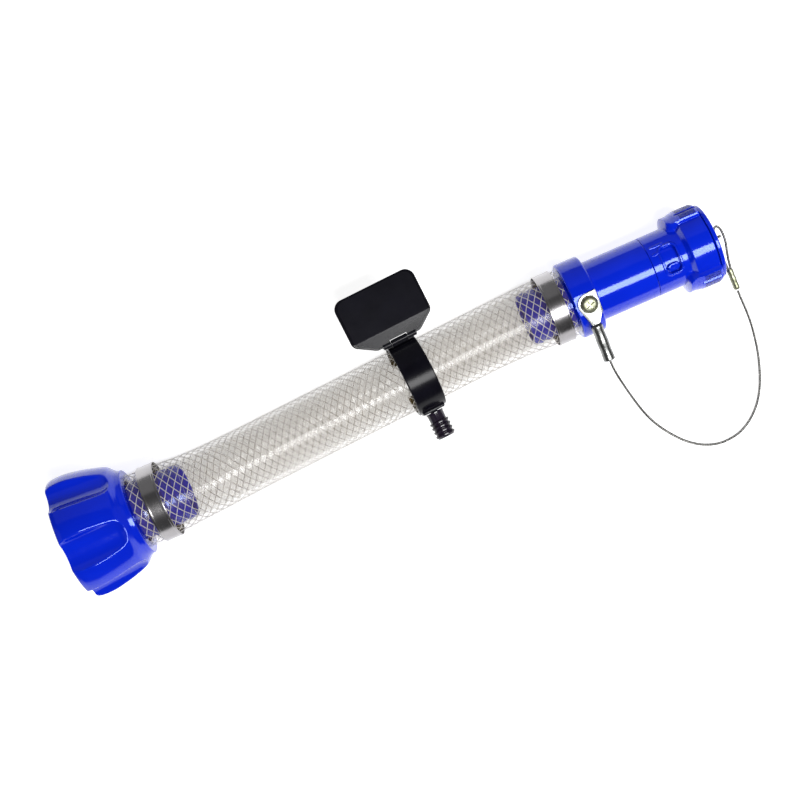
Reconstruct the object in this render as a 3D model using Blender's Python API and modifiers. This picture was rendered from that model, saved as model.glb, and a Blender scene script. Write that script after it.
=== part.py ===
"""A short clear braided transfer hose with a swivel union nut on its inlet, a coupling with a
locking sleeve on its outlet, a dust plug on a wire lanyard, and a black clip round the hose.

Metres, +Z up. +X runs from the inlet to the outlet, and the object lies on the plane Z = 0.
Stations along the object are counted from a plane 3.0 mm outside the rim of the inlet nut.
"""

import math

import bmesh
import bpy
from mathutils import Matrix, Vector

MM = 0.001
GAP = 0.3 * MM

# Overall layout. The inlet and outlet axes are parallel to +X, and the hose bends between them.
START_X = -250.45 * MM
INLET_Y, INLET_Z = -17.98 * MM, 43.66 * MM
OUTLET_Y, OUTLET_Z = -3.98 * MM, 27.6 * MM

# Hose, 48 mm outside. It is stretched over the barbs and pinched under the two bands.
HOSE_START, HOSE_END = 53.2 * MM, 380.0 * MM
HOSE_WALL = 4.7 * MM
HOSE_RADII = (
    (53.2, 27.1), (60.0, 27.0), (63.0, 26.4), (74.0, 26.4), (77.0, 26.1), (92.0, 25.2),
    (113.0, 24.5), (140.0, 24.0), (318.0, 24.0), (345.0, 24.6), (360.0, 25.3),
    (364.6, 25.0), (376.4, 25.0), (380.0, 25.6),
)
BEND_START, BEND_END = 78.0 * MM, 352.0 * MM
BEND_EASE = 0.14
HOSE_RINGS = 26

# Inlet nut: a bell with six scoops, each ending in a round heel towards the hose. A scoop is cut by a
# round-ended rod whose axis stands this far out at its heel and leans out by its tilt.
NUT_OUTLINE = (
    (3.0, 42.3), (5.0, 43.2), (9.0, 43.8), (14.0, 43.8), (22.1, 42.6), (29.0, 41.2), (35.9, 39.3),
    (42.8, 37.1), (45.6, 35.2), (49.0, 31.8), (52.4, 30.4),
)
NUT_BORE_R = 30.3 * MM
NUT_MOUTH_R = 34.5 * MM
NUT_MOUTH_END = 7.0 * MM
NUT_SHOULDER = 34.5 * MM
NUT_NECK_BORE_R = 22.4 * MM
SCOOPS = 6
SCOOP_R = 16.0 * MM
SCOOP_OUT = 49.6 * MM
SCOOP_END = 40.0 * MM
SCOOP_TILT = 5.0
SCOOP_TURN = 13.5

# Inlet hose tail and gasket.
TAIL_FLANGE_R = 27.5 * MM
TAIL_FLANGE = 4.8 * MM
TAIL_BORE_R = 16.8 * MM
GASKET = 3.0 * MM

# Band clamps.
BAND = 0.9 * MM
INLET_BAND = (62.6 * MM, 74.4 * MM)
OUTLET_BAND = (364.4 * MM, 376.6 * MM)
EAR_TURN = 140.0

# Outlet body: barbed tail, collar, tube and the spigot that carries the sleeve.
BODY_TIP = 348.8 * MM
BODY_BORE_R = 15.5 * MM
COLLAR = (381.6 * MM, 398.8 * MM)
COLLAR_R = 27.6 * MM
TUBE_R = 21.7 * MM
TUBE_END = 441.6 * MM
SPIGOT_R = 18.8 * MM
SPIGOT_END = 470.2 * MM
LUG_TURN = 19.0
LUG_TOP_R = 21.4 * MM
LUG_LENGTH, LUG_WIDTH = 8.8 * MM, 5.4 * MM
LUG_AT = 455.4 * MM
O_RING_AT, O_RING_WIRE = 465.5 * MM, 0.7 * MM

# Locking sleeve.
SLEEVE = (442.0 * MM, 485.8 * MM)
SLEEVE_BORE_R = 19.2 * MM
SLEEVE_STEP = 469.2 * MM
SLEEVE_HEAD_R = 26.2 * MM
SLEEVE_MOUTH_R = 22.5 * MM
WINDOW_LENGTH = 10.6 * MM
WINDOW_FROM, WINDOW_TO = -23.0, 30.0
GRIP_START = 461.2 * MM
GRIP_R = 29.3 * MM
GRIP_HALF_ANGLE = 46.0

# Dust plug and its eye.
PLUG_DISC = (486.2 * MM, 489.2 * MM)
PLUG_DISC_R = 27.2 * MM
PLUG_HUB_R = 14.6 * MM
PLUG_HUB_START = 456.0 * MM
PLUG_WALL = 2.4 * MM
PLUG_RING_AT, PLUG_RING_WIRE = 462.0 * MM, 0.9 * MM
EYE_R, EYE_WIRE = 3.2 * MM, 1.0 * MM

# Lanyard: screw, insert, crimp terminal, cable, ferrule and end loop.
PAD_TURN = 15.5
PAD_R = 26.5 * MM
SCREW_AT = 390.8 * MM
SCREW_HEAD_R = 6.2 * MM
SCREW_R = 2.4 * MM
INSERT_R = 3.8 * MM
LUG_PLATE = 1.2 * MM
BARREL_R = 4.1 * MM
BARREL_OFFSET = -0.7 * MM
BARREL = (15.0 * MM, 41.5 * MM)
BARREL_HEIGHT = 28.2 * MM
CABLE_R = 1.0 * MM
CABLE_ROUTE = (
    (139.7, -51.9, 43.6), (140.0, -57.5, 41.8), (141.1, -64.5, 38.0), (143.1, -71.5, 31.8),
    (145.5, -78.5, 23.6), (148.3, -86.0, 14.6), (151.5, -94.5, 6.8), (155.3, -103.5, 2.4),
    (159.8, -112.0, 1.1), (165.1, -119.8, 1.1), (171.5, -127.2, 1.1), (178.5, -133.0, 1.1),
    (186.0, -137.0, 1.1), (194.0, -139.2, 1.1), (202.0, -139.3, 1.1), (210.0, -137.8, 1.1),
    (217.5, -134.3, 1.1), (224.5, -129.1, 1.1), (231.0, -122.0, 1.1), (236.5, -113.0, 1.1),
    (240.9, -102.5, 1.6), (244.1, -91.0, 3.4), (245.8, -79.5, 6.5), (246.5, -68.0, 10.3),
    (246.1, -57.5, 14.0), (245.45, -50.0, 16.7), (245.11, -42.9, 18.82),
)
FERRULE_FROM = Vector((245.1, -42.6, 18.9)) * MM
FERRULE_TO = Vector((244.6, -27.6, 22.9)) * MM
FERRULE_R = 2.4 * MM
LOOP_R = 0.9 * MM
LOOP_ROUTE = (
    (243.6, -27.3, 23.0), (243.4, -21.5, 24.1), (243.25, -15.0, 25.3), (243.2, -8.0, 26.7),
    (243.4, -1.5, 28.1), (244.3, 2.0, 28.9), (246.2, 3.4, 29.2), (248.0, 2.0, 28.9),
    (249.0, -1.5, 28.1), (249.1, -8.0, 26.7), (247.7, -15.0, 25.3), (246.4, -21.5, 24.1),
    (245.6, -27.3, 23.0),
)

# Hose clip: an open ring, a barbed stud on one side and a hinged plate on the other.
CLIP_AT = 263.9 * MM
CLIP_BORE_R = 24.4 * MM
CLIP_R = 27.0 * MM
CLIP_HALF_WIDTH = 10.4 * MM
CLIP_MOUTH_HALF = 13.0 * MM
BOSS_HALF_X, BOSS_HALF_Z, BOSS_TOP = 8.4 * MM, 8.4 * MM, 28.4 * MM
STUD_R, STUD_RIB_R, STUD_PEG_R = 6.0 * MM, 7.3 * MM, 3.0 * MM
STUD_START, STUD_END = 28.7 * MM, 48.0 * MM
PIN_Y, PIN_Z, PIN_R, PIN_REACH = 26.4 * MM, 13.2 * MM, 1.1 * MM, 13.2 * MM
KNUCKLE_R = 2.2 * MM
KNUCKLE_SPLIT, KNUCKLE_END = 6.4 * MM, 12.6 * MM
PLATE_OUTLINE = (
    (-31.5, 68.6), (-31.5, 35.0), (-16.7, 26.0), (16.0, 26.0), (29.2, 35.5), (29.2, 68.6),
)
PLATE_CORNER_R = 6.5 * MM
# The plate's thickness in side view, as (across, up): flat, then bent down to the hinge.
PLATE_PROFILE = (
    (74.0, 12.8), (74.0, 15.8), (36.5, 15.8), (26.4, 14.6), (24.0, 14.3), (24.0, 11.6),
    (26.4, 11.8), (36.5, 12.8),
)

BLUE = ((0.005, 0.02, 0.55), 0.25, 0.0)
CLEAR_PVC = ((0.70, 0.66, 0.58), 0.20, 0.0)
STEEL = ((0.62, 0.62, 0.60), 0.25, 1.0)
ZINC = ((0.66, 0.62, 0.42), 0.35, 1.0)
BRASS = ((0.72, 0.52, 0.20), 0.35, 1.0)
BLACK = ((0.012, 0.012, 0.014), 0.35, 0.0)
RUBBER = ((0.015, 0.015, 0.015), 0.70, 0.0)


def clear_scene():
    for obj in list(bpy.data.objects):
        bpy.data.objects.remove(obj, do_unlink=True)


def new_collection(name):
    collection = bpy.data.collections.new(name)
    bpy.context.scene.collection.children.link(collection)
    return collection


def material(name, finish):
    color, roughness, metallic = finish
    mat = bpy.data.materials.new(name)
    mat.use_nodes = True
    shader = mat.node_tree.nodes["Principled BSDF"]
    shader.inputs["Base Color"].default_value = (*color, 1.0)
    shader.inputs["Roughness"].default_value = roughness
    shader.inputs["Metallic"].default_value = metallic
    return mat


def empty(name, location, rotation):
    obj = bpy.data.objects.new(name, None)
    obj.empty_display_size = 0.02
    obj.matrix_world = Matrix.Translation(location) @ rotation
    PARTS.objects.link(obj)
    return obj


def add_mesh(name, bm, finish, parent=None, cutter=False):
    """A mesh object, as a part with a material of its own or as a cutter."""
    bmesh.ops.recalc_face_normals(bm, faces=bm.faces)
    mesh = bpy.data.meshes.new(name)
    bm.to_mesh(mesh)
    bm.free()
    return add_object(bpy.data.objects.new(name, mesh), finish, parent, cutter)


def add_object(obj, finish, parent=None, cutter=False):
    if cutter:
        CUTTERS.objects.link(obj)
        obj.hide_render = True
        obj.display_type = "WIRE"
    else:
        PARTS.objects.link(obj)
        obj.data.materials.append(material(obj.name, finish))
    obj.parent = parent
    return obj


def turned(name, outline, finish, parent=None, steps=32, cutter=False):
    """Turns (station, radius) points round the parent's Z axis, as a ring unless the ends are on it."""
    solid = outline[0][1] == 0 and outline[-1][1] == 0
    pairs = zip(outline, outline[1:] + outline[:1])
    area = sum(a[1] * b[0] - b[1] * a[0] for a, b in pairs)
    ordered = outline[::-1] if area > 0 else outline
    mesh = bpy.data.meshes.new(name)
    count = len(ordered)
    edges = [(i, i + 1) for i in range(count - 1)]
    if not solid:
        edges.append((count - 1, 0))
    mesh.from_pydata([(radius, 0.0, station) for station, radius in ordered], edges, [])
    obj = add_object(bpy.data.objects.new(name, mesh), finish, parent, cutter)
    screw = obj.modifiers.new("Turn", "SCREW")
    screw.steps = steps
    screw.render_steps = steps
    screw.use_merge_vertices = True
    screw.merge_threshold = 1e-5
    screw.use_smooth_shade = True
    return obj


def outline_mesh(outline, depth):
    """A flat outline in XY as a closed solid, depth thick and centred on Z = 0."""
    curve = bpy.data.curves.new("outline", "CURVE")
    curve.dimensions = "2D"
    curve.fill_mode = "BOTH"
    curve.extrude = depth / 2
    spline = curve.splines.new("POLY")
    spline.points.add(len(outline) - 1)
    for point, (x, y) in zip(spline.points, outline):
        point.co = (x, y, 0.0, 1.0)
    spline.use_cyclic_u = True
    obj = bpy.data.objects.new("outline", curve)
    bpy.context.scene.collection.objects.link(obj)
    graph = bpy.context.evaluated_depsgraph_get()
    mesh = bpy.data.meshes.new_from_object(obj.evaluated_get(graph))
    bpy.data.objects.remove(obj, do_unlink=True)
    bm = bmesh.new()
    bm.from_mesh(mesh)
    bpy.data.meshes.remove(mesh)
    bmesh.ops.remove_doubles(bm, verts=bm.verts, dist=1e-6)
    return bm


def block(size, centre):
    bm = bmesh.new()
    bmesh.ops.create_cube(bm, size=1.0)
    bmesh.ops.scale(bm, vec=size, verts=bm.verts)
    bmesh.ops.translate(bm, vec=centre, verts=bm.verts)
    return bm


def rod(radius, start, end, sides=20):
    """A round bar between two points."""
    along = Vector(end) - Vector(start)
    turn = along.to_track_quat("Z", "Y").to_matrix().to_4x4()
    place = Matrix.Translation((Vector(start) + Vector(end)) / 2) @ turn
    bm = bmesh.new()
    bmesh.ops.create_cone(
        bm, cap_ends=True, segments=sides, radius1=radius, radius2=radius,
        depth=along.length, matrix=place,
    )
    return bm


def boolean(obj, other, operation):
    mod = obj.modifiers.new(other.name, "BOOLEAN")
    mod.operation = operation
    mod.solver = "EXACT"
    mod.object = other


def around(turn, radius):
    """A direction round an X axis frame: turn is in degrees from world +Z towards -Y."""
    angle = math.radians(turn)
    return -radius * math.cos(angle), -radius * math.sin(angle)


def eased(u):
    """0 to 1 at an even slope, with a short ease at both ends."""
    u = min(max(u, 0.0), 1.0)
    slope = 1.0 / (1.0 - BEND_EASE)
    if u < BEND_EASE:
        return slope * u * u / (2 * BEND_EASE)
    if u > 1.0 - BEND_EASE:
        return 1.0 - slope * (1.0 - u) ** 2 / (2 * BEND_EASE)
    return slope * (u - BEND_EASE / 2)


def hose_centre(station):
    part = eased((station - BEND_START) / (BEND_END - BEND_START))
    return Vector((
        START_X + station,
        INLET_Y + (OUTLET_Y - INLET_Y) * part,
        INLET_Z + (OUTLET_Z - INLET_Z) * part,
    ))


def hose_radius(station):
    at = station / MM
    for (a, ra), (b, rb) in zip(HOSE_RADII, HOSE_RADII[1:]):
        if at <= b:
            return (ra + (rb - ra) * max(at - a, 0.0) / (b - a)) * MM
    return HOSE_RADII[-1][1] * MM


def smooth_route(points, spacing):
    """Points about spacing apart on a Catmull-Rom curve through the route's points."""
    knots = [Vector(p) * MM for p in points]
    knots = [2 * knots[0] - knots[1]] + knots + [2 * knots[-1] - knots[-2]]
    fine = []
    for a, b, c, d in zip(knots, knots[1:], knots[2:], knots[3:]):
        for i in range(12):
            t = i / 12
            fine.append(0.5 * (
                2 * b + (c - a) * t + (2 * a - 5 * b + 4 * c - d) * t ** 2
                + (3 * b - a - 3 * c + d) * t ** 3
            ))
    fine.append(knots[-2])
    travelled = [0.0]
    for p, q in zip(fine, fine[1:]):
        travelled.append(travelled[-1] + (q - p).length)
    count = round(travelled[-1] / spacing)
    line = []
    at = 0
    for i in range(count + 1):
        want = travelled[-1] * i / count
        while at < len(fine) - 2 and travelled[at + 1] < want:
            at += 1
        share = (want - travelled[at]) / (travelled[at + 1] - travelled[at])
        line.append(fine[at].lerp(fine[at + 1], share))
    return line


def tube(name, line, radius, finish):
    curve = bpy.data.curves.new(name, "CURVE")
    curve.dimensions = "3D"
    curve.bevel_depth = radius
    curve.bevel_resolution = 2
    curve.use_fill_caps = True
    spline = curve.splines.new("POLY")
    spline.points.add(len(line) - 1)
    for point, place in zip(spline.points, line):
        point.co = (*place, 1.0)
    return add_object(bpy.data.objects.new(name, curve), finish)


# Inlet end


def inlet_nut():
    outer = [(s * MM, r * MM) for s, r in NUT_OUTLINE]
    bore = [
        (outer[-1][0], NUT_NECK_BORE_R), (NUT_SHOULDER, NUT_NECK_BORE_R),
        (NUT_SHOULDER, NUT_BORE_R), (NUT_MOUTH_END, NUT_BORE_R), (outer[0][0], NUT_MOUTH_R),
    ]
    nut = turned("inlet_nut", outer + bore, BLUE, INLET, steps=40)
    heel = [
        (SCOOP_R * math.sin(a), SCOOP_R * math.cos(a)) for a in (math.radians(15 * i) for i in range(6))
    ]
    bullet = [(-50 * MM, 0.0), (-50 * MM, SCOOP_R)] + heel + [(SCOOP_R, 0.0)]
    tilt = math.radians(SCOOP_TILT)
    for i in range(SCOOPS):
        scoop = turned(f"scoop_{i}", bullet, None, INLET, steps=28, cutter=True)
        out = Vector((*around(SCOOP_TURN + 360 / SCOOPS * i, 1.0), 0.0))
        along = Vector((0, 0, math.cos(tilt))) - out * math.sin(tilt)
        heel_at = Matrix.Translation(out * SCOOP_OUT + Vector((0, 0, SCOOP_END)))
        scoop.matrix_local = heel_at @ along.to_track_quat("Z", "Y").to_matrix().to_4x4()
        boolean(nut, scoop, "DIFFERENCE")


def barbs(tip, base, peak_tip, peak_base, count):
    """The outline of a barbed tail from its tip to its base, with the steep faces towards the base."""
    pitch = (base - tip) / count
    points = []
    for i in range(count):
        peak = peak_tip + (peak_base - peak_tip) * i / max(count - 1, 1)
        start = tip + pitch * i
        points += [
            (start, peak - 1.3 * MM), (start + 0.8 * pitch, peak),
            (start + 0.88 * pitch, peak - 0.9 * MM),
        ]
    return points


def inlet_hose_tail():
    back = NUT_SHOULDER - 0.4 * MM
    front = back - TAIL_FLANGE
    barb = barbs(89.2 * MM, 57.0 * MM, 20.0 * MM, 21.3 * MM, 4)
    outline = barb + [
        (56.0 * MM, 20.4 * MM), (back, 20.4 * MM), (back, TAIL_FLANGE_R), (front, TAIL_FLANGE_R),
        (front, TAIL_BORE_R), (89.2 * MM, TAIL_BORE_R),
    ]
    turned("inlet_hose_tail", outline, BLUE, HOSE_SIDE)


def inlet_gasket():
    end = NUT_SHOULDER - 0.4 * MM - TAIL_FLANGE - GAP
    ring = [(end, 27.0 * MM), (end - GASKET, 27.0 * MM), (end - GASKET, 17.6 * MM), (end, 17.6 * MM)]
    turned("inlet_gasket", ring, RUBBER, HOSE_SIDE)


def band_clamp(name, ends, frame):
    """A closed steel band with its crimped ear on the underside."""
    middle = (ends[0] + ends[1]) / 2
    inner = max(hose_radius(e) for e in ends) + GAP
    outer = inner + BAND
    ring = [(ends[0], inner), (ends[0], outer), (ends[1], outer), (ends[1], inner)]
    band = turned(name, ring, STEEL, frame)
    x, y = around(EAR_TURN, outer + 1.2 * MM)
    bm = block((3.4 * MM, 9.0 * MM, ends[1] - ends[0] - 1.0 * MM), (0.0, 0.0, 0.0))
    turn = Matrix.Rotation(math.atan2(y, x), 4, "Z")
    bmesh.ops.transform(bm, matrix=Matrix.Translation((x, y, middle)) @ turn, verts=bm.verts)
    ear = add_mesh(name + "_ear", bm, None, frame, cutter=True)
    boolean(band, ear, "UNION")
    low, high = ends[0] - 1 * MM, ends[1] + 1 * MM
    inside = [(low, 0.0), (low, inner), (high, inner), (high, 0.0)]
    clear = turned(name + "_clear", inside, None, frame, cutter=True)
    boolean(band, clear, "DIFFERENCE")


def hose():
    curve = bpy.data.curves.new("hose_line", "CURVE")
    curve.dimensions = "3D"
    curve.bevel_depth = 1.0
    curve.bevel_resolution = 6
    stations = {HOSE_START, HOSE_END} | {s * MM for s, _ in HOSE_RADII}
    stations |= {140 * MM + (318 - 140) * MM * i / HOSE_RINGS for i in range(HOSE_RINGS)}
    line = sorted(stations)
    spline = curve.splines.new("POLY")
    spline.points.add(len(line) - 1)
    for point, station in zip(spline.points, line):
        point.co = (*hose_centre(station), 1.0)
        point.radius = hose_radius(station)
    guide = bpy.data.objects.new("hose_line", curve)
    bpy.context.scene.collection.objects.link(guide)
    graph = bpy.context.evaluated_depsgraph_get()
    mesh = bpy.data.meshes.new_from_object(guide.evaluated_get(graph))
    bpy.data.objects.remove(guide, do_unlink=True)
    mesh.name = "hose"
    obj = add_object(bpy.data.objects.new("hose", mesh), CLEAR_PVC)
    mesh.shade_smooth()
    wall = obj.modifiers.new("Wall", "SOLIDIFY")
    wall.thickness = HOSE_WALL
    wall.offset = -1.0
    wall.use_even_offset = False


# Outlet end


def outlet_body():
    barb = barbs(BODY_TIP, 378.0 * MM, 19.2 * MM, 19.8 * MM, 4)
    groove = 1.6 * MM
    ring = (O_RING_AT - 1.2 * MM, O_RING_AT + 1.2 * MM)
    outline = barb + [
        (COLLAR[0] - 1.0 * MM, 18.9 * MM), (COLLAR[0], 18.9 * MM),
        (COLLAR[0], COLLAR_R - 1.0 * MM), (COLLAR[0] + 1.0 * MM, COLLAR_R),
        (COLLAR[1] - 1.0 * MM, COLLAR_R), (COLLAR[1], COLLAR_R - 1.0 * MM),
        (COLLAR[1], TUBE_R), (TUBE_END, TUBE_R), (TUBE_END, SPIGOT_R),
        (ring[0], SPIGOT_R), (ring[0], SPIGOT_R - groove),
        (ring[1], SPIGOT_R - groove), (ring[1], SPIGOT_R),
        (SPIGOT_END, SPIGOT_R), (SPIGOT_END, BODY_BORE_R), (BODY_TIP, BODY_BORE_R),
    ]
    body = turned("outlet_body", outline, BLUE, OUTLET, steps=36)
    pad = block((30 * MM, 60 * MM, 10 * MM), (0.0, 0.0, PAD_R + 5 * MM))
    boolean(body, add_mesh("pad_cut", pad, None, PAD, cutter=True), "DIFFERENCE")
    hole = rod(INSERT_R + GAP, (0, 0, 18.0 * MM), (0, 0, 40.0 * MM))
    boolean(body, add_mesh("insert_hole", hole, None, PAD, cutter=True), "DIFFERENCE")
    for side in (0, 180):
        boolean(body, guide_lug(side), "UNION")


def guide_lug(side):
    """The oblong lug that rides in a window of the sleeve."""
    x, y = around(LUG_TURN + side, (LUG_TOP_R + SPIGOT_R - 1.5 * MM) / 2)
    bm = block((LUG_TOP_R - SPIGOT_R + 1.5 * MM, LUG_WIDTH, LUG_LENGTH), (0.0, 0.0, 0.0))
    turn = Matrix.Rotation(math.atan2(y, x), 4, "Z")
    bmesh.ops.transform(bm, matrix=Matrix.Translation((x, y, LUG_AT)) @ turn, verts=bm.verts)
    return add_mesh(f"guide_lug_{side}", bm, None, OUTLET, cutter=True)


def ring_torus(name, station, radius, wire, finish, frame):
    section = [
        (station + wire * math.sin(a), radius + wire * math.cos(a))
        for a in (math.radians(45 * i) for i in range(8))
    ]
    turned(name, section, finish, frame, steps=36)


def sector(start, end, inner, outer, depth, at):
    """A piece of a ring between two turns in degrees, depth long and centred on station at."""
    steps = max(2, round(abs(end - start) / 9))
    turns = [start + (end - start) * i / steps for i in range(steps + 1)]
    outline = [around(t, outer) for t in turns] + [around(t, inner) for t in reversed(turns)]
    bm = outline_mesh(outline, depth)
    bmesh.ops.translate(bm, vec=(0.0, 0.0, at), verts=bm.verts)
    return bm


def locking_sleeve():
    outline = [
        (SLEEVE[0], SLEEVE_BORE_R), (SLEEVE[0], TUBE_R), (SLEEVE_STEP - 2 * MM, TUBE_R),
        (SLEEVE_STEP, SLEEVE_HEAD_R), (SLEEVE[1] - 1 * MM, SLEEVE_HEAD_R),
        (SLEEVE[1], SLEEVE_HEAD_R - 1 * MM), (SLEEVE[1], SLEEVE_MOUTH_R),
        (SPIGOT_END + 2 * MM, SLEEVE_MOUTH_R), (SPIGOT_END + 2 * MM, SLEEVE_BORE_R),
    ]
    sleeve = turned("locking_sleeve", outline, BLUE, SLEEVE_AXIS, steps=36)
    for side in (90, -90):
        start, end = side - GRIP_HALF_ANGLE, side + GRIP_HALF_ANGLE
        depth = SLEEVE[1] - GRIP_START - 1 * MM
        bm = sector(start, end, 20.5 * MM, GRIP_R, depth, GRIP_START + depth / 2)
        boolean(sleeve, add_mesh(f"grip_{side}", bm, None, SLEEVE_AXIS, cutter=True), "UNION")
    for side in (0, 180):
        bm = sector(WINDOW_FROM + side, WINDOW_TO + side, 15 * MM, 32 * MM, WINDOW_LENGTH, LUG_AT)
        window = add_mesh(f"window_{side}", bm, None, SLEEVE_AXIS, cutter=True)
        boolean(sleeve, window, "DIFFERENCE")


def dust_plug():
    ring = (PLUG_RING_AT - 1.3 * MM, PLUG_RING_AT + 1.3 * MM)
    floor = PLUG_DISC[0] - 0.5 * MM
    outline = [
        (PLUG_HUB_START, PLUG_HUB_R - PLUG_WALL), (PLUG_HUB_START, PLUG_HUB_R - 1 * MM),
        (PLUG_HUB_START + 1.5 * MM, PLUG_HUB_R), (ring[0], PLUG_HUB_R),
        (ring[0], PLUG_HUB_R - 1.2 * MM), (ring[1], PLUG_HUB_R - 1.2 * MM), (ring[1], PLUG_HUB_R),
        (PLUG_DISC[0], PLUG_HUB_R), (PLUG_DISC[0], PLUG_DISC_R - 0.6 * MM),
        (PLUG_DISC[0] + 0.6 * MM, PLUG_DISC_R), (PLUG_DISC[1] - 0.6 * MM, PLUG_DISC_R),
        (PLUG_DISC[1], PLUG_DISC_R - 0.6 * MM), (PLUG_DISC[1], 2.2 * MM),
        (floor, 2.2 * MM), (floor, PLUG_HUB_R - PLUG_WALL),
    ]
    turned("dust_plug", outline, BLUE, PLUG_AXIS)
    radius = PLUG_HUB_R - 1.2 * MM + GAP + PLUG_RING_WIRE
    ring_torus("plug_o_ring", PLUG_RING_AT, radius, PLUG_RING_WIRE - GAP, RUBBER, PLUG_AXIS)


def plug_eye():
    """A wire eye in the XZ plane on a threaded shank, with a nut behind the disc."""
    centre = PLUG_DISC[1] + GAP + EYE_WIRE + EYE_R
    bm = bmesh.new()
    section = []
    for i in range(20):
        a = 2 * math.pi * i / 20
        hub = Vector((EYE_R * math.sin(a), 0.0, centre + EYE_R * math.cos(a)))
        out = (hub - Vector((0, 0, centre))).normalized()
        section.append([
            bm.verts.new(hub + EYE_WIRE * (math.cos(b) * out + math.sin(b) * Vector((0, 1, 0))))
            for b in (math.radians(45 * k) for k in range(8))
        ])
    for one, two in zip(section, section[1:] + section[:1]):
        for k in range(8):
            bm.faces.new((one[k], one[(k + 1) % 8], two[(k + 1) % 8], two[k]))
    eye = add_mesh("plug_eye", bm, STEEL, PLUG_AXIS)
    shank = rod(1.8 * MM, (0, 0, PLUG_DISC[0] - 6 * MM), (0, 0, centre - EYE_R + 0.3 * MM))
    boolean(eye, add_mesh("eye_shank", shank, None, PLUG_AXIS, cutter=True), "UNION")
    start = PLUG_DISC[0] - 0.5 * MM - GAP
    hexagon = [
        (4.2 * MM * math.cos(math.pi / 3 * i), 4.2 * MM * math.sin(math.pi / 3 * i)) for i in range(6)
    ]
    bm = outline_mesh(hexagon, 3 * MM)
    bmesh.ops.translate(bm, vec=(0, 0, start - 1.5 * MM), verts=bm.verts)
    nut = add_mesh("plug_eye_nut", bm, STEEL, PLUG_AXIS)
    hole = rod(2.1 * MM, (0, 0, start - 5 * MM), (0, 0, start + 2 * MM))
    boolean(nut, add_mesh("eye_nut_hole", hole, None, PLUG_AXIS, cutter=True), "DIFFERENCE")


# Lanyard. The pad frame has its Z axis out of the flat on the collar and its X axis along +X.


def lanyard_screw():
    seat = PAD_R + GAP + LUG_PLATE + GAP
    outline = [
        (19.6 * MM, 0.0), (19.6 * MM, SCREW_R), (seat, SCREW_R), (seat, SCREW_HEAD_R),
        (seat + 1.2 * MM, SCREW_HEAD_R), (seat + 2.4 * MM, 5.0 * MM), (seat + 3.0 * MM, 2.6 * MM),
        (seat + 3.1 * MM, 0.0),
    ]
    turned("lanyard_screw", outline, ZINC, PAD, steps=20)
    insert = [
        (18.4 * MM, SCREW_R + GAP), (18.4 * MM, INSERT_R), (26.2 * MM, INSERT_R),
        (26.2 * MM, SCREW_R + GAP),
    ]
    turned("screw_insert", insert, BRASS, PAD, steps=20)


def lanyard_terminal():
    head = [
        (7.7 * MM * math.cos(a), 7.7 * MM * math.sin(a))
        for a in (math.radians(100 + 12 * i) for i in range(9))
    ]
    outline = [(7.6 * MM, -7.2 * MM), (7.5 * MM, 8.2 * MM)] + head
    outline += [(-3.4 * MM, -14.6 * MM), (-2.6 * MM, -18 * MM)]
    outline += [(1.6 * MM, -18 * MM), (2.2 * MM, -15.2 * MM)]
    bm = outline_mesh(outline, LUG_PLATE)
    bmesh.ops.translate(bm, vec=(0, 0, PAD_R + GAP + LUG_PLATE / 2), verts=bm.verts)
    plate = add_mesh("lanyard_terminal", bm, STEEL, PAD)
    start = (BARREL_OFFSET, -BARREL[0], BARREL_HEIGHT)
    end = (BARREL_OFFSET, -BARREL[1], BARREL_HEIGHT)
    barrel = add_mesh("barrel", rod(BARREL_R, start, end, 16), None, PAD, cutter=True)
    boolean(plate, barrel, "UNION")
    hole = rod(SCREW_R + GAP, (0, 0, 20 * MM), (0, 0, 35 * MM))
    boolean(plate, add_mesh("terminal_hole", hole, None, PAD, cutter=True), "DIFFERENCE")


def lanyard_cable():
    tube("lanyard_cable", smooth_route(CABLE_ROUTE, 5 * MM), CABLE_R, STEEL)
    tube("lanyard_end_loop", smooth_route(LOOP_ROUTE, 2.2 * MM), LOOP_R, STEEL)
    add_mesh("lanyard_ferrule", rod(FERRULE_R, FERRULE_FROM, FERRULE_TO, 16), STEEL)


# Hose clip. Its frame has X along the hose, Z up and the plate on the +Y side.


def clip_frame():
    step = 0.5 * MM
    along = (hose_centre(CLIP_AT + step) - hose_centre(CLIP_AT - step)).normalized()
    side = Vector((0, 0, 1)).cross(along).normalized()
    up = along.cross(side)
    return Matrix((along, side, up)).transposed().to_4x4()


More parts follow.
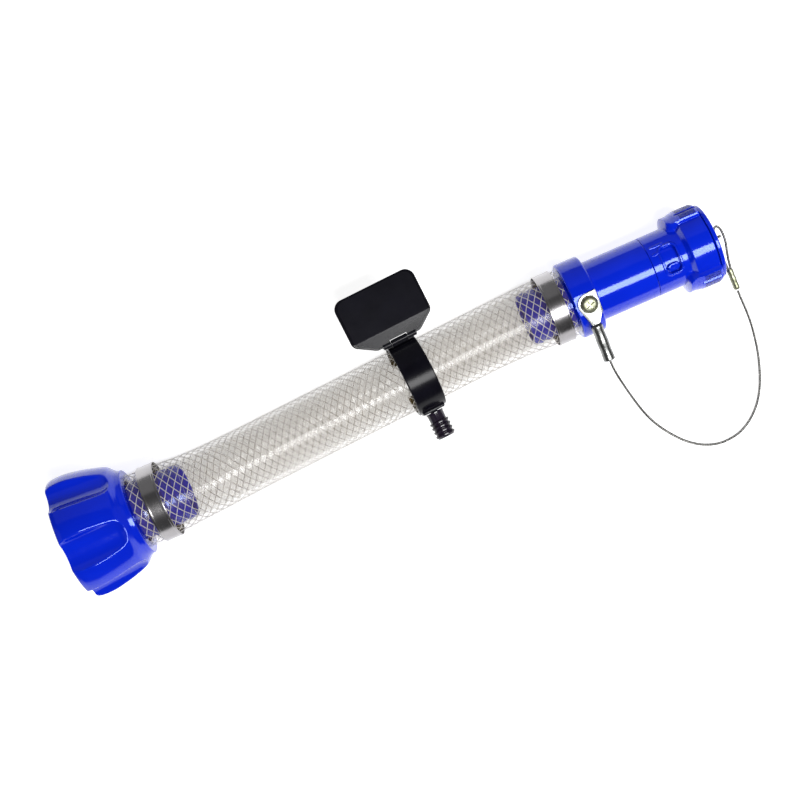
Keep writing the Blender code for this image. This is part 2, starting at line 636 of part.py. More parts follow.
def clip_ring():
    turn = Matrix.Rotation(math.pi / 2, 4, "Y")
    half = CLIP_HALF_WIDTH
    outline = [(-half, CLIP_BORE_R), (-half, CLIP_R), (half, CLIP_R), (half, CLIP_BORE_R)]
    ring = turned("clip_ring", outline, BLACK, CLIP, steps=40)
    ring.matrix_local = turn
    mouth = block((40 * MM, 2 * CLIP_MOUTH_HALF, 20 * MM), (0, 0, -28 * MM))
    boolean(ring, add_mesh("clip_mouth", mouth, None, CLIP, cutter=True), "DIFFERENCE")
    depth = BOSS_TOP - 25.0 * MM
    boss = block((2 * BOSS_HALF_X, depth, 2 * BOSS_HALF_Z), (0, -BOSS_TOP + depth / 2, 0))
    boolean(ring, add_mesh("clip_boss", boss, None, CLIP, cutter=True), "UNION")
    width = KNUCKLE_SPLIT - GAP
    ear = rod(KNUCKLE_R, (-width, PIN_Y, PIN_Z), (width, PIN_Y, PIN_Z), 16)
    boolean(ring, add_mesh("clip_ear", ear, None, CLIP, cutter=True), "UNION")
    web = block((2 * width, 4.8 * MM, 2.9 * MM), (0, 24.0 * MM, 11.8 * MM))
    boolean(ring, add_mesh("clip_web", web, None, CLIP, cutter=True), "UNION")
    bore = rod(CLIP_BORE_R, (-20 * MM, 0, 0), (20 * MM, 0, 0), 40)
    boolean(ring, add_mesh("clip_bore", bore, None, CLIP, cutter=True), "DIFFERENCE")
    pin = rod(PIN_R + GAP, (-20 * MM, PIN_Y, PIN_Z), (20 * MM, PIN_Y, PIN_Z), 16)
    boolean(ring, add_mesh("clip_pin_hole", pin, None, CLIP, cutter=True), "DIFFERENCE")
    peg = rod(STUD_PEG_R + GAP, (0, -40 * MM, 0), (0, -20 * MM, 0), 20)
    boolean(ring, add_mesh("clip_peg_hole", peg, None, CLIP, cutter=True), "DIFFERENCE")


def clip_hinge_pin():
    pin = rod(PIN_R, (-PIN_REACH, PIN_Y, PIN_Z), (PIN_REACH, PIN_Y, PIN_Z), 16)
    add_mesh("clip_hinge_pin", pin, STEEL, CLIP)


def barbed_stud():
    """The stud is turned about the clip's -Y direction, with four ribs on its outer part."""
    rib_start, pitch = 35.5 * MM, 3.2 * MM
    outline = [
        (24.8 * MM, 0.0), (24.8 * MM, STUD_PEG_R), (STUD_START, STUD_PEG_R), (STUD_START, STUD_R),
        (rib_start, STUD_R),
    ]
    for i in range(4):
        at = rib_start + pitch * i
        outline += [(at, STUD_RIB_R), (at + 1.2 * MM, STUD_RIB_R), (at + 2.4 * MM, STUD_R)]
    outline += [(STUD_END, STUD_R - 0.4 * MM), (STUD_END, 3.2 * MM), (31.0 * MM, 3.2 * MM), (31.0 * MM, 0.0)]
    stud = turned("barbed_stud", outline, BLACK, CLIP, steps=24)
    stud.matrix_local = Matrix.Rotation(math.pi / 2, 4, "X")


def rounded(outline, radius, steps=5):
    """The outline with each corner replaced by an arc, as points."""
    points = []
    count = len(outline)
    for i in range(count):
        a, b, c = (Vector(outline[(i + k) % count]) for k in (-1, 0, 1))
        one, two = (a - b).normalized(), (c - b).normalized()
        half = one.angle(two) / 2
        back = min(radius / math.tan(half), 0.45 * min((a - b).length, (c - b).length))
        size = back * math.tan(half)
        centre = b + (one + two).normalized() * (size / math.sin(half))
        start, end = b + one * back - centre, b + two * back - centre
        for k in range(steps + 1):
            spoke = start.lerp(end, k / steps).normalized() * size
            points.append(tuple(centre + spoke))
    return points


def clip_plate():
    """A house-shaped plate, bent down to its foot, with a knuckle on each side of the ring's."""
    outline = [(x * MM, y * MM) for x, y in PLATE_OUTLINE]
    bm = outline_mesh(rounded(outline, PLATE_CORNER_R), 20 * MM)
    bmesh.ops.translate(bm, vec=(0, 0, PIN_Z), verts=bm.verts)
    plate = add_mesh("clip_plate", bm, BLACK, CLIP)
    sheet = outline_mesh([(y * MM, z * MM) for y, z in PLATE_PROFILE], 80 * MM)
    swap = Matrix(((0, 0, 1, 0), (1, 0, 0, 0), (0, 1, 0, 0), (0, 0, 0, 1)))
    bmesh.ops.transform(sheet, matrix=swap, verts=sheet.verts)
    boolean(plate, add_mesh("plate_sheet", sheet, None, CLIP, cutter=True), "INTERSECT")
    knuckles = rod(KNUCKLE_R, (-KNUCKLE_END, PIN_Y, PIN_Z), (KNUCKLE_END, PIN_Y, PIN_Z), 16)
    boolean(plate, add_mesh("plate_knuckles", knuckles, None, CLIP, cutter=True), "UNION")
    notch = block((2 * KNUCKLE_SPLIT, 12 * MM, 20 * MM), (0, PIN_Y + KNUCKLE_R + GAP - 6 * MM, PIN_Z))
    boolean(plate, add_mesh("plate_notch", notch, None, CLIP, cutter=True), "DIFFERENCE")
    pin = rod(PIN_R + GAP, (-20 * MM, PIN_Y, PIN_Z), (20 * MM, PIN_Y, PIN_Z), 16)
    boolean(plate, add_mesh("plate_pin_hole", pin, None, CLIP, cutter=True), "DIFFERENCE")


clear_scene()
PARTS = new_collection("transfer_hose")
CUTTERS = new_collection("cutters")
TO_X = Matrix.Rotation(math.pi / 2, 4, "Y")
INLET = empty("inlet_nut_axis", (START_X, INLET_Y, INLET_Z), TO_X)
HOSE_SIDE = empty("inlet_tail_axis", (START_X, INLET_Y, INLET_Z), TO_X)
OUTLET = empty("outlet_axis", (START_X, OUTLET_Y, OUTLET_Z), TO_X)
SLEEVE_AXIS = empty("sleeve_axis", (START_X, OUTLET_Y, OUTLET_Z), TO_X)
PLUG_AXIS = empty("plug_axis", (START_X, OUTLET_Y, OUTLET_Z), TO_X)
PAD = empty(
    "pad_frame", (START_X + SCREW_AT, OUTLET_Y, OUTLET_Z), Matrix.Rotation(math.radians(PAD_TURN), 4, "X")
)
CLIP = empty("clip_axis", hose_centre(CLIP_AT), clip_frame())

inlet_nut()
inlet_hose_tail()
inlet_gasket()
band_clamp("inlet_band_clamp", INLET_BAND, HOSE_SIDE)
hose()
outlet_body()
band_clamp("outlet_band_clamp", OUTLET_BAND, OUTLET)
ring_torus("sleeve_o_ring", O_RING_AT, SPIGOT_R - 0.6 * MM, O_RING_WIRE, RUBBER, OUTLET)
locking_sleeve()
dust_plug()
plug_eye()
lanyard_screw()
lanyard_terminal()
lanyard_cable()
clip_ring()
clip_hinge_pin()
barbed_stud()
clip_plate()
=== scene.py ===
"""Looks of the short braided transfer hose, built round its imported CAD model."""

import math
from math import radians

import bmesh
import bpy
import numpy as np
from mathutils import Matrix, Vector


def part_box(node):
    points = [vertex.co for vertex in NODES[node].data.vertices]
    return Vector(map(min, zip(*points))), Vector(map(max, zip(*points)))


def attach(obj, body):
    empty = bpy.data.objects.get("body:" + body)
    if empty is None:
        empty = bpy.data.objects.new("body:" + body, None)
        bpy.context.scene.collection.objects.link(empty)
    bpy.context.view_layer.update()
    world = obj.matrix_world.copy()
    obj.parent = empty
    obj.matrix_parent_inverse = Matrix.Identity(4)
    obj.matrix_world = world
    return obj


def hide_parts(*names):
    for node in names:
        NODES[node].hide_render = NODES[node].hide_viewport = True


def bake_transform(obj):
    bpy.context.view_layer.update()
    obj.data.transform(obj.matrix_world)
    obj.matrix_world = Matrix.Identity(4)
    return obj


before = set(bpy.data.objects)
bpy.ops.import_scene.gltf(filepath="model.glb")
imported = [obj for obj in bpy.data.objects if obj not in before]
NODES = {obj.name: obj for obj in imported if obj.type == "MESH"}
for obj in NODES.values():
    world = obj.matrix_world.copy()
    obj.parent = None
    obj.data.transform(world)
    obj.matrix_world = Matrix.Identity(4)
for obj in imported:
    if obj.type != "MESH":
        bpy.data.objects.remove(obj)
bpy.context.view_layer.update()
MM = 0.001
TAU = 2 * math.pi


def box_centre(node):
    low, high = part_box(node)
    return (low + high) / 2


# Places taken from the frame. Stations along the object are counted from a plane 3 mm outside
# the nut's rim.
START_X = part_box("inlet_nut")[0].x - 3.0 * MM
INLET = box_centre("inlet_gasket")
OUTLET = box_centre("plug_o_ring")

# The CAD model's driving sizes, in metres, some eased by a few tenths of a millimetre.
HOSE_ENDS = (53.2 * MM, 380.0 * MM)
HOSE_WALL = 4.7 * MM
HOSE_RADII = (
    (53.2, 27.0), (60.0, 26.8), (62.4, 26.3), (74.6, 26.3), (77.0, 26.0), (92.0, 25.0),
    (113.0, 24.3), (140.0, 23.9), (318.0, 23.9), (345.0, 24.5), (360.0, 25.2),
    (364.2, 24.9), (376.8, 24.9), (380.0, 25.5),
)
BEND = (78.0 * MM, 352.0 * MM)
BEND_EASE = 0.14
NUT_OUTLINE = (
    (4.2, 42.7), (6.5, 43.34), (9.5, 43.58), (14.0, 43.58), (18.0, 43.2), (22.1, 42.5), (29.0, 41.05),
    (35.9, 39.2), (41.5, 37.4), (44.2, 36.0), (46.4, 33.8), (48.4, 31.9), (50.6, 30.8),
)
NUT_END, NUT_RIM = 52.3 * MM, 3.0 * MM
NUT_BORE_R, NUT_NECK_R = 30.3 * MM, 22.5 * MM
NUT_SHOULDER = 34.5 * MM
THREAD_PITCH, THREAD_DEPTH = 6.0 * MM, 2.2 * MM
SCOOPS, SCOOP_R, SCOOP_OUT, SCOOP_END = 6, 16.0 * MM, 49.6 * MM, 40.0 * MM
SCOOP_TILT, SCOOP_TURN = 5.0, 13.5
COLLAR = (381.6 * MM, 398.8 * MM)
COLLAR_R, TUBE_R, TUBE_END = 27.6 * MM, 21.7 * MM, 441.8 * MM
SPIGOT_R, SPIGOT_END, BODY_BORE_R, BODY_TIP = 18.8 * MM, 470.2 * MM, 15.5 * MM, 348.8 * MM
PAD_TURN, PAD_R, SCREW_AT = 15.5, 26.5 * MM, 390.8 * MM
LUG_TURN, LUG_AT, LUG_TOP = 19.0, 455.4 * MM, 21.4
LUG_HALF_LENGTH, LUG_HALF_WIDTH = 4.4 * MM, 2.7 * MM
SLEEVE = (442.0 * MM, 485.8 * MM)
SLEEVE_BORE_R, SLEEVE_HEAD_R, SLEEVE_MOUTH_R, GRIP_R = 19.2 * MM, 26.1 * MM, 22.5 * MM, 29.2 * MM
GRIP_START, GRIP_HALF = 461.4 * MM, 45.5
WINDOW = (-23.0, 30.0)
WINDOW_HALF = 5.3 * MM
PLUG_DISC = (486.2 * MM, 489.2 * MM)
CLIP_AT = 263.9 * MM

# Braid of the hose: so many flat yarns each way, one turn of each in this length.
YARNS, YARN_TURN = 17, 92.0 * MM
YARN_HALF_WIDTH, YARN_HALF_THICK, YARN_DEEP = 0.58 * MM, 0.16 * MM, 1.5 * MM


# Camera, light and floor. The camera looks straight down, turned about the vertical.
CAMERA_LENS, CAMERA_AIM, CAMERA_HEIGHT, CAMERA_TURN = 66.96, (-3.4, -19.8, 38.0), 1.027, 23.5
FLOOR_HALF, FLOOR_DROP, FLOOR_GREY, FLOOR_GLOW, SKY = 3.0, 0.0004, 0.55, 0.86, 0.09


def studio():
    scene = bpy.context.scene
    scene.view_settings.view_transform = "Standard"
    scene.view_settings.look = "None"
    camera = bpy.data.cameras.new("camera")
    camera.sensor_width = 36.0
    camera.lens = CAMERA_LENS
    camera.clip_start = 0.05
    camera.clip_end = 20.0
    eye = bpy.data.objects.new("camera", camera)
    eye.location = Vector(CAMERA_AIM) * MM + Vector((0, 0, CAMERA_HEIGHT))
    eye.rotation_euler = (0.0, 0.0, -radians(CAMERA_TURN))
    scene.collection.objects.link(eye)
    scene.camera = eye

    bm = bmesh.new()
    bmesh.ops.create_grid(bm, x_segments=2, y_segments=2, size=FLOOR_HALF)
    mesh = bpy.data.meshes.new("floor")
    bm.to_mesh(mesh)
    bm.free()
    floor = bpy.data.objects.new("floor", mesh)
    floor.location.z = -FLOOR_DROP
    scene.collection.objects.link(floor)
    pale = bpy.data.materials.new("floor_pale")
    pale.use_nodes = True
    shader = pale.node_tree.nodes["Principled BSDF"]
    for key, value in (
        ("Base Color", (FLOOR_GREY, FLOOR_GREY, FLOOR_GREY, 1)), ("Emission Color", (1, 1, 1, 1)),
        ("Emission Strength", FLOOR_GLOW), ("Roughness", 0.9), ("Specular IOR Level", 0.1),
    ):
        shader.inputs[key].default_value = value
    mesh.materials.append(pale)

    world = bpy.data.worlds.new("studio")
    world.use_nodes = True
    sky = world.node_tree.nodes["Background"]
    sky.inputs["Color"].default_value = (1.0, 1.0, 1.0, 1)
    sky.inputs["Strength"].default_value = SKY
    scene.world = world

    softbox("key_strip", (0.36, -0.47, 1.28), (1.05, 0.50), 29.0, (0.36, -0.01, 0.03))
    softbox("rear_fill", (0.1, 1.25, 0.75), (2.4, 1.5), 2.2)
    softbox("left_fill", (-1.35, 0.0, 0.85), (1.2, 1.4), 1.2)
    softbox("right_fill", (1.35, 0.0, 0.85), (1.2, 1.4), 0.8)


def softbox(name, place, size, power, target=(0.0, -0.01, 0.03)):
    light = bpy.data.lights.new(name, "AREA")
    light.shape = "RECTANGLE"
    light.size, light.size_y = size
    light.energy = power
    lamp = bpy.data.objects.new(name, light)
    lamp.location = place
    aim = Vector(target) - Vector(place)
    lamp.rotation_euler = aim.to_track_quat("-Z", "Y").to_euler()
    bpy.context.scene.collection.objects.link(lamp)


# Materials


class Paint:
    """A Principled material and short ways to add nodes to it."""

    def __init__(self, name, metallic=0.0, **sockets):
        self.mat = bpy.data.materials.new(name)
        self.mat.use_nodes = True
        self.tree = self.mat.node_tree
        self.link = self.tree.links.new
        self.shader = self.tree.nodes["Principled BSDF"]
        self.shader.inputs["Metallic"].default_value = metallic
        for key, value in sockets.items():
            self.shader.inputs[key.replace("_", " ")].default_value = value
        self.coords = self.tree.nodes.new("ShaderNodeTexCoord")
        self.bump_in = None

    def node(self, kind, **settings):
        made = self.tree.nodes.new(kind)
        for key, value in settings.items():
            setattr(made, key, value)
        return made

    def mapped(self, scale):
        mapping = self.node("ShaderNodeMapping")
        mapping.inputs["Scale"].default_value = scale
        self.link(self.coords.outputs["Object"], mapping.inputs["Vector"])
        return mapping.outputs["Vector"]

    def noise(self, scale, detail, stretch=(1, 1, 1)):
        tex = self.node("ShaderNodeTexNoise")
        tex.inputs["Scale"].default_value = scale
        tex.inputs["Detail"].default_value = detail
        tex.inputs["Roughness"].default_value = 0.55
        self.link(self.mapped(stretch), tex.inputs["Vector"])
        return tex.outputs["Fac"]

    def ramp(self, source, stops, ease="LINEAR"):
        ramp = self.node("ShaderNodeValToRGB")
        ramp.color_ramp.interpolation = ease
        while len(ramp.color_ramp.elements) < len(stops):
            ramp.color_ramp.elements.new(0.5)
        for element, (at, color) in zip(ramp.color_ramp.elements, stops):
            element.position = at
            element.color = (*color, 1)
        self.link(source, ramp.inputs["Fac"])
        return ramp.outputs["Color"]

    def span(self, source, low, high):
        """The source, 0 to 1, spread from low to high."""
        made = self.node("ShaderNodeMapRange")
        made.inputs["To Min"].default_value = low
        made.inputs["To Max"].default_value = high
        self.link(source, made.inputs["Value"])
        return made.outputs["Result"]

    def math(self, operation, a, b):
        made = self.node("ShaderNodeMath", operation=operation)
        self.link(a, made.inputs[0])
        if isinstance(b, float):
            made.inputs[1].default_value = b
        else:
            self.link(b, made.inputs[1])
        return made.outputs[0]

    def mix(self, fac, source, color):
        """The source colour with a plain colour mixed in."""
        made = self.node("ShaderNodeMix", data_type="RGBA")
        self.link(fac, made.inputs["Factor"])
        self.link(source, made.inputs[6])
        made.inputs[7].default_value = (*color, 1)
        return made.outputs[2]

    def color(self, source):
        self.link(source, self.shader.inputs["Base Color"])

    def rough(self, source):
        self.link(source, self.shader.inputs["Roughness"])

    def bump(self, height, distance, strength):
        made = self.node("ShaderNodeBump")
        made.inputs["Distance"].default_value = distance
        made.inputs["Strength"].default_value = strength
        self.link(height, made.inputs["Height"])
        if self.bump_in:
            self.link(self.bump_in, made.inputs["Normal"])
        self.bump_in = made.outputs["Normal"]
        self.link(self.bump_in, self.shader.inputs["Normal"])


def edge_highlight(paint, clean, highlight, amount):
    """Mixes in a paler tint on convex edges, a painted highlight along them."""
    geometry = paint.node("ShaderNodeNewGeometry")
    edge = paint.ramp(geometry.outputs["Pointiness"], ((0.52, (0, 0, 0)), (0.60, (1, 1, 1))))
    fac = paint.math("MULTIPLY", edge, amount)
    return paint.mix(fac, clean, highlight)


def blue_plastic():
    paint = Paint("blue_plastic", Specular_Tint=(0.42, 0.55, 1.0, 1), Specular_IOR_Level=0.75)
    flow = paint.noise(38, 3, (0.5, 1, 1))
    base = paint.ramp(flow, ((0.30, (0.0003, 0.0112, 0.42)), (0.72, (0.0004, 0.0148, 0.51))))
    # Convex edges get a paler blue, a painted highlight.
    paint.color(edge_highlight(paint, base, (0.006, 0.04, 0.58), 0.35))
    paint.rough(paint.span(paint.noise(120, 5), 0.07, 0.14))
    paint.bump(paint.noise(55, 2), 0.00035, 0.35)
    paint.bump(paint.noise(1900, 2), 0.00002, 0.5)
    return paint.mat


def clear_pvc():
    """The hose wall: thin layers of tinted clear plastic, embossed by the yarn under the skin."""
    paint = Paint(
        "clear_pvc", Roughness=0.17, Alpha=0.18, Specular_IOR_Level=0.7, Coat_Weight=0.5,
        Coat_IOR=1.7, Coat_Roughness=0.12,
    )
    cloud = paint.noise(24, 4)
    paint.color(paint.ramp(cloud, ((0.3, (0.105, 0.068, 0.010)), (0.7, (0.145, 0.098, 0.025)))))
    uv = paint.node("ShaderNodeUVMap", uv_map="braid")
    split = paint.node("ShaderNodeSeparateXYZ")
    paint.link(uv.outputs["UV"], split.inputs[0])
    ridges = []
    for axis in ("X", "Y"):
        wave = paint.math("PINGPONG", split.outputs[axis], 0.5)
        ridges.append(paint.ramp(wave, ((0.0, (1, 1, 1)), (0.16, (0, 0, 0))), "EASE"))
    relief = paint.math("MAXIMUM", ridges[0], ridges[1])
    paint.bump(relief, 0.00030, 0.6)
    paint.bump(paint.noise(240, 3), 0.00008, 0.5)
    return paint.mat


def yarn():
    paint = Paint("white_yarn", Roughness=0.45, Sheen_Weight=0.3, Alpha=0.72)
    fibre = paint.noise(900, 3)
    paint.color(paint.ramp(fibre, ((0.25, (0.58, 0.555, 0.54)), (0.7, (0.82, 0.80, 0.79)))))
    paint.bump(fibre, 0.00006, 0.6)
    return paint.mat


def clouded(name, tint_noise, stops, rough_noise, rough, bump_noise=None, bump=(), **settings):
    """A material whose colour, roughness and fine bumps each follow a noise."""
    paint = Paint(name, **settings)
    paint.color(paint.ramp(paint.noise(*tint_noise), stops))
    paint.rough(paint.span(paint.noise(*rough_noise), *rough))
    if bump_noise:
        paint.bump(paint.noise(*bump_noise), *bump)
    return paint.mat


def metal(name, tint_noise, dark, light, rough_noise, rough, bump_noise=None, bump=()):
    stops = ((0.3, dark), (0.7, light))
    return clouded(name, tint_noise, stops, rough_noise, rough, bump_noise, bump, metallic=1.0)


def zinc_plate():
    stops = ((0.28, (0.14, 0.15, 0.09)), (0.5, (0.24, 0.25, 0.17)), (0.75, (0.36, 0.37, 0.29)))
    return clouded(
        "zinc_plate", (520, 4), stops, (900, 3), (0.30, 0.50), (1100, 3), (0.00005, 0.6), metallic=1.0
    )


def black_plastic(name="black_plastic", gloss=0.0, tint=(0.0018, 0.0017, 0.0032)):
    paint = Paint(name, Specular_IOR_Level=0.13, Coat_Weight=gloss)
    light = tuple(c * 1.9 for c in tint)
    base = paint.ramp(paint.noise(60, 4), ((0.3, tint), (0.7, light)))
    # Convex edges get a paler grey, a painted highlight.
    paint.color(edge_highlight(paint, base, (0.02, 0.02, 0.025), 0.5))
    smoothest, grain = (0.14, 0.2) if gloss else (0.16, 0.6)
    paint.rough(paint.span(paint.noise(160, 5), smoothest, 0.26))
    paint.bump(paint.noise(1300, 3), 0.00003, grain)
    paint.bump(paint.noise(35, 2), 0.0003, 0.25)
    return paint.mat


def rubber():
    stops = ((0.3, (0.012, 0.012, 0.012)), (0.7, (0.028, 0.028, 0.027)))
    return clouded(
        "seal_rubber", (180, 4), stops, (180, 4), (0.6, 0.85), (1500, 3), (0.00004, 0.6),
        Specular_IOR_Level=0.3,
    )


# Mesh tools


def add(name, mesh, mat, smooth=35):
    obj = bpy.data.objects.new(name, mesh)
    bpy.context.scene.collection.objects.link(obj)
    mesh.materials.append(mat)
    mesh.shade_smooth()
    if smooth:
        mesh.set_sharp_from_angle(angle=radians(smooth))
    return obj


def reshaded(obj, smooth):
    """Shades a changed mesh afresh, sharp where it turns by more than smooth, in degrees."""
    obj.data.shade_smooth()
    obj.data.set_sharp_from_angle(angle=radians(smooth))
    return obj


def from_bmesh(name, bm, mat, width, segments=2):
    """An object of the bmesh, with its edges rounded where width is not 0."""
    bmesh.ops.recalc_face_normals(bm, faces=bm.faces)
    mesh = bpy.data.meshes.new(name)
    bm.to_mesh(mesh)
    bm.free()
    obj = add(name, mesh, mat)
    return bevelled(obj, width, segments) if width else obj


def wrap_faces(rows, columns):
    """Quads of a grid that closes on itself both ways."""
    i, j = np.meshgrid(np.arange(rows), np.arange(columns), indexing="ij")
    a = i * columns + j
    b = ((i + 1) % rows) * columns + j
    c = ((i + 1) % rows) * columns + (j + 1) % columns
    d = i * columns + (j + 1) % columns
    return np.stack([a, b, c, d], axis=-1).reshape(-1, 4)


def mesh_of(name, points, faces):
    """A mesh with its faces pointing out, whichever way round they were given."""
    p = points[faces]
    volume = 0.0
    for k in (1, 2):
        volume += np.einsum("ij,ij->i", p[:, 0], np.cross(p[:, k], p[:, k + 1])).sum()
    if volume < 0:
        faces = faces[:, ::-1]
    mesh = bpy.data.meshes.new(name)
    mesh.from_pydata(points.tolist(), [], faces.tolist())
    mesh.update()
    return mesh


def fillet(points, steps=4):
    """Points (station, radius, corner radius in mm) as an outline with its corners rounded."""
    made = []
    count = len(points)
    for k in range(count):
        a, b, c = (Vector(points[(k + s) % count][:2]) for s in (-1, 0, 1))
        size = points[k][2] * MM
        if size <= 0:
            made.append(tuple(b))
            continue
        one, two = (a - b).normalized(), (c - b).normalized()
        half = one.angle(two) / 2
        back = min(size / math.tan(half), 0.48 * min((a - b).length, (c - b).length))
        arc = back * math.tan(half)
        centre = b + (one + two).normalized() * (arc / math.sin(half))
        first, last = b + one * back - centre, b + two * back - centre
        for s in range(steps + 1):
            made.append(tuple(centre + first.lerp(last, s / steps).normalized() * arc))
    return made


def dense(outline, step):
    """The closed outline with points no further apart than step, in mm."""
    made = []
    for a, b in zip(outline, outline[1:] + outline[:1]):
        a, b = Vector(a[:2]), Vector(b[:2])
        count = max(1, math.ceil((b - a).length / (step * MM)))
        made += [tuple(a.lerp(b, k / count)) for k in range(count)]
    return made


def curve_through(points, per_span):
    """Points on a Catmull-Rom curve through the given ones, of any dimension."""
    knots = [Vector(p) for p in points]
    knots = [2 * knots[0] - knots[1]] + knots + [2 * knots[-1] - knots[-2]]
    made = []
    for a, b, c, d in zip(knots, knots[1:], knots[2:], knots[3:]):
        for k in range(per_span):
            t = k / per_span
            made.append(0.5 * (
                2 * b + (c - a) * t + (2 * a - 5 * b + 4 * c - d) * t ** 2
                + (3 * b - a - 3 * c + d) * t ** 3
            ))
    made.append(knots[-2])
    return made


def lathe(name, outline, axis, mat, columns=96, shape=None, smooth=35):
    """Turns a closed (station, radius) outline about an X axis. shape may change the radii by turn.
    A turn is measured in radians from +Z towards -Y."""
    station = np.array([p[0] for p in outline])[:, None]
    radius = np.array([p[1] for p in outline])[:, None]
    turn = (np.arange(columns) / columns * TAU)[None, :]
    full = np.repeat(radius, columns, axis=1)
    if shape:
        full = shape(station, full, turn)
    x = START_X + np.repeat(station, columns, axis=1)
    y = axis.y - full * np.sin(turn)
    z = axis.z + full * np.cos(turn)
    points = np.stack([x, y, z], axis=-1).reshape(-1, 3)
    return add(name, mesh_of(name, points, wrap_faces(len(outline), columns)), mat, smooth)


def away(turn, centre):
    """The angle from a turn, in degrees, as signed radians."""
    return (turn - radians(centre) + math.pi) % TAU - math.pi


def soft_min(a, b, width):
    h = np.clip(0.5 + 0.5 * (b - a) / width, 0, 1)
    return b * (1 - h) + a * h - width * h * (1 - h)


def step_up(value, start, width):
    """0 before start, 1 after start + width, smooth between."""
    t = np.clip((value - start) / width, 0, 1)
    return t * t * (3 - 2 * t)


def tube_faces(rows, size, capped=True):
    """Quads between rings of points, and a face over each end."""
    faces = []
    for k in range(rows - 1):
        for s in range(size):
            a, b = k * size + s, k * size + (s + 1) % size
            faces.append((a, b, b + size, a + size))
    if capped:
        faces.append(tuple(range(size))[::-1])
        faces.append(tuple(range((rows - 1) * size, rows * size)))
    return faces


def sweep(line, section, capped=True):
    """Points and faces of a section swept along a line. section(k) gives (across, up) pairs."""
    points = []
    for k, (place, side, up) in enumerate(frames_along(line)):
        points += [place + side * u + up * v for u, v in section(k)]
    return points, tube_faces(len(line), len(points) // len(line), capped)


def frames_along(line):
    """Each point of a line with two directions across it that don't twist."""
    last = len(line) - 1
    side = (line[1] - line[0]).normalized().orthogonal().normalized()
    frames = []
    for k, place in enumerate(line):
        along = (line[min(k + 1, last)] - line[max(k - 1, 0)]).normalized()
        side = (side - along * side.dot(along)).normalized()
        frames.append((place, side, along.cross(side)))
    return frames


def circle(radius, sides):
    turns = [TAU * k / sides for k in range(sides)]
    return [(radius * math.cos(a), radius * math.sin(a)) for a in turns]


def joined(name, parts, mat, smooth=35):
    """One object of several (points, faces) bodies."""
    points, faces = [], []
    for some, more in parts:
        start = len(points)
        points += [tuple(p) for p in some]
        faces += [tuple(i + start for i in f) for f in more]
    mesh = bpy.data.meshes.new(name)
    mesh.from_pydata(points, [], faces)
    bm = bmesh.new()
    bm.from_mesh(mesh)
    bmesh.ops.recalc_face_normals(bm, faces=bm.faces)
    bm.to_mesh(mesh)
    bm.free()
    return add(name, mesh, mat, smooth)


def cut(obj, cutter, operation="DIFFERENCE"):
    """Applies a Boolean with cutter and removes the cutter."""
    mod = obj.modifiers.new("cut", "BOOLEAN")
    mod.operation = operation
    mod.solver = "EXACT"
    mod.object = cutter
    settle(obj)
    bpy.data.objects.remove(cutter, do_unlink=True)
    return obj


def settle(obj):
    """Puts the modifiers' result into the object's mesh."""
    bpy.context.view_layer.update()
    graph = bpy.context.evaluated_depsgraph_get()
    mesh = bpy.data.meshes.new_from_object(obj.evaluated_get(graph))
    obj.modifiers.clear()
    obj.data = mesh
    return obj


def bevelled(obj, width, segments, angle=40):
    """Rounds the edges that turn by more than angle. The width is in mm."""
    mod = obj.modifiers.new("bevel", "BEVEL")
    mod.width = width * MM
    mod.segments = segments
    mod.limit_method = "ANGLE"
    mod.angle_limit = radians(angle)
    return reshaded(settle(obj), 35)


def block(name, low, high, matrix, mat, width=0.0):
    bm = bmesh.new()
    bmesh.ops.create_cube(bm, size=1.0)
    size = Vector(high) - Vector(low)
    bmesh.ops.scale(bm, vec=size, verts=bm.verts)
    bmesh.ops.translate(bm, vec=(Vector(low) + Vector(high)) / 2, verts=bm.verts)
    bmesh.ops.transform(bm, matrix=matrix, verts=bm.verts)
    return from_bmesh(name, bm, mat, width)


def rod(name, radius, start, end, matrix, mat, sides=48, width=0.0):
    along = Vector(end) - Vector(start)
    turn = along.to_track_quat("Z", "Y").to_matrix().to_4x4()
    bm = bmesh.new()
    bmesh.ops.create_cone(
        bm, cap_ends=True, segments=sides, radius1=radius, radius2=radius, depth=along.length,
        matrix=matrix @ Matrix.Translation((Vector(start) + Vector(end)) / 2) @ turn,
    )
    return from_bmesh(name, bm, mat, width, 3)


def prism(name, outline, low, high, matrix, mat, width=0.0):
    """A flat outline in XY from z = low to z = high, with rounded edges."""
    bm = bmesh.new()
    face = bm.faces.new([bm.verts.new((x, y, low)) for x, y in outline])
    top = bmesh.ops.extrude_face_region(bm, geom=[face])
    lifted = [g for g in top["geom"] if isinstance(g, bmesh.types.BMVert)]
    bmesh.ops.translate(bm, vec=(0, 0, high - low), verts=lifted)
    bmesh.ops.transform(bm, matrix=matrix, verts=bm.verts)
    return from_bmesh(name, bm, mat, width, 3)


# Hose


def eased(u):
    u = min(max(u, 0.0), 1.0)
    slope = 1.0 / (1.0 - BEND_EASE)
    if u < BEND_EASE:
        return slope * u * u / (2 * BEND_EASE)
    if u > 1.0 - BEND_EASE:
        return 1.0 - slope * (1.0 - u) ** 2 / (2 * BEND_EASE)
    return slope * (u - BEND_EASE / 2)


def hose_centre(station):
    part = eased((station - BEND[0]) / (BEND[1] - BEND[0]))
    return Vector((
        START_X + station,
        INLET.y + (OUTLET.y - INLET.y) * part,
        INLET.z + (OUTLET.z - INLET.z) * part,
    ))


def hose_radius(station):
    at, radii = zip(*HOSE_RADII)
    return float(np.interp(station, np.array(at) * MM, np.array(radii) * MM))


def hose_frame(station):
    """Origin and axes of the hose at a station: along it, level across it, and up."""
    step = 0.5 * MM
    along = (hose_centre(station + step) - hose_centre(station - step)).normalized()
    side = Vector((0, 0, 1)).cross(along).normalized()
    return hose_centre(station), along, side, along.cross(side)


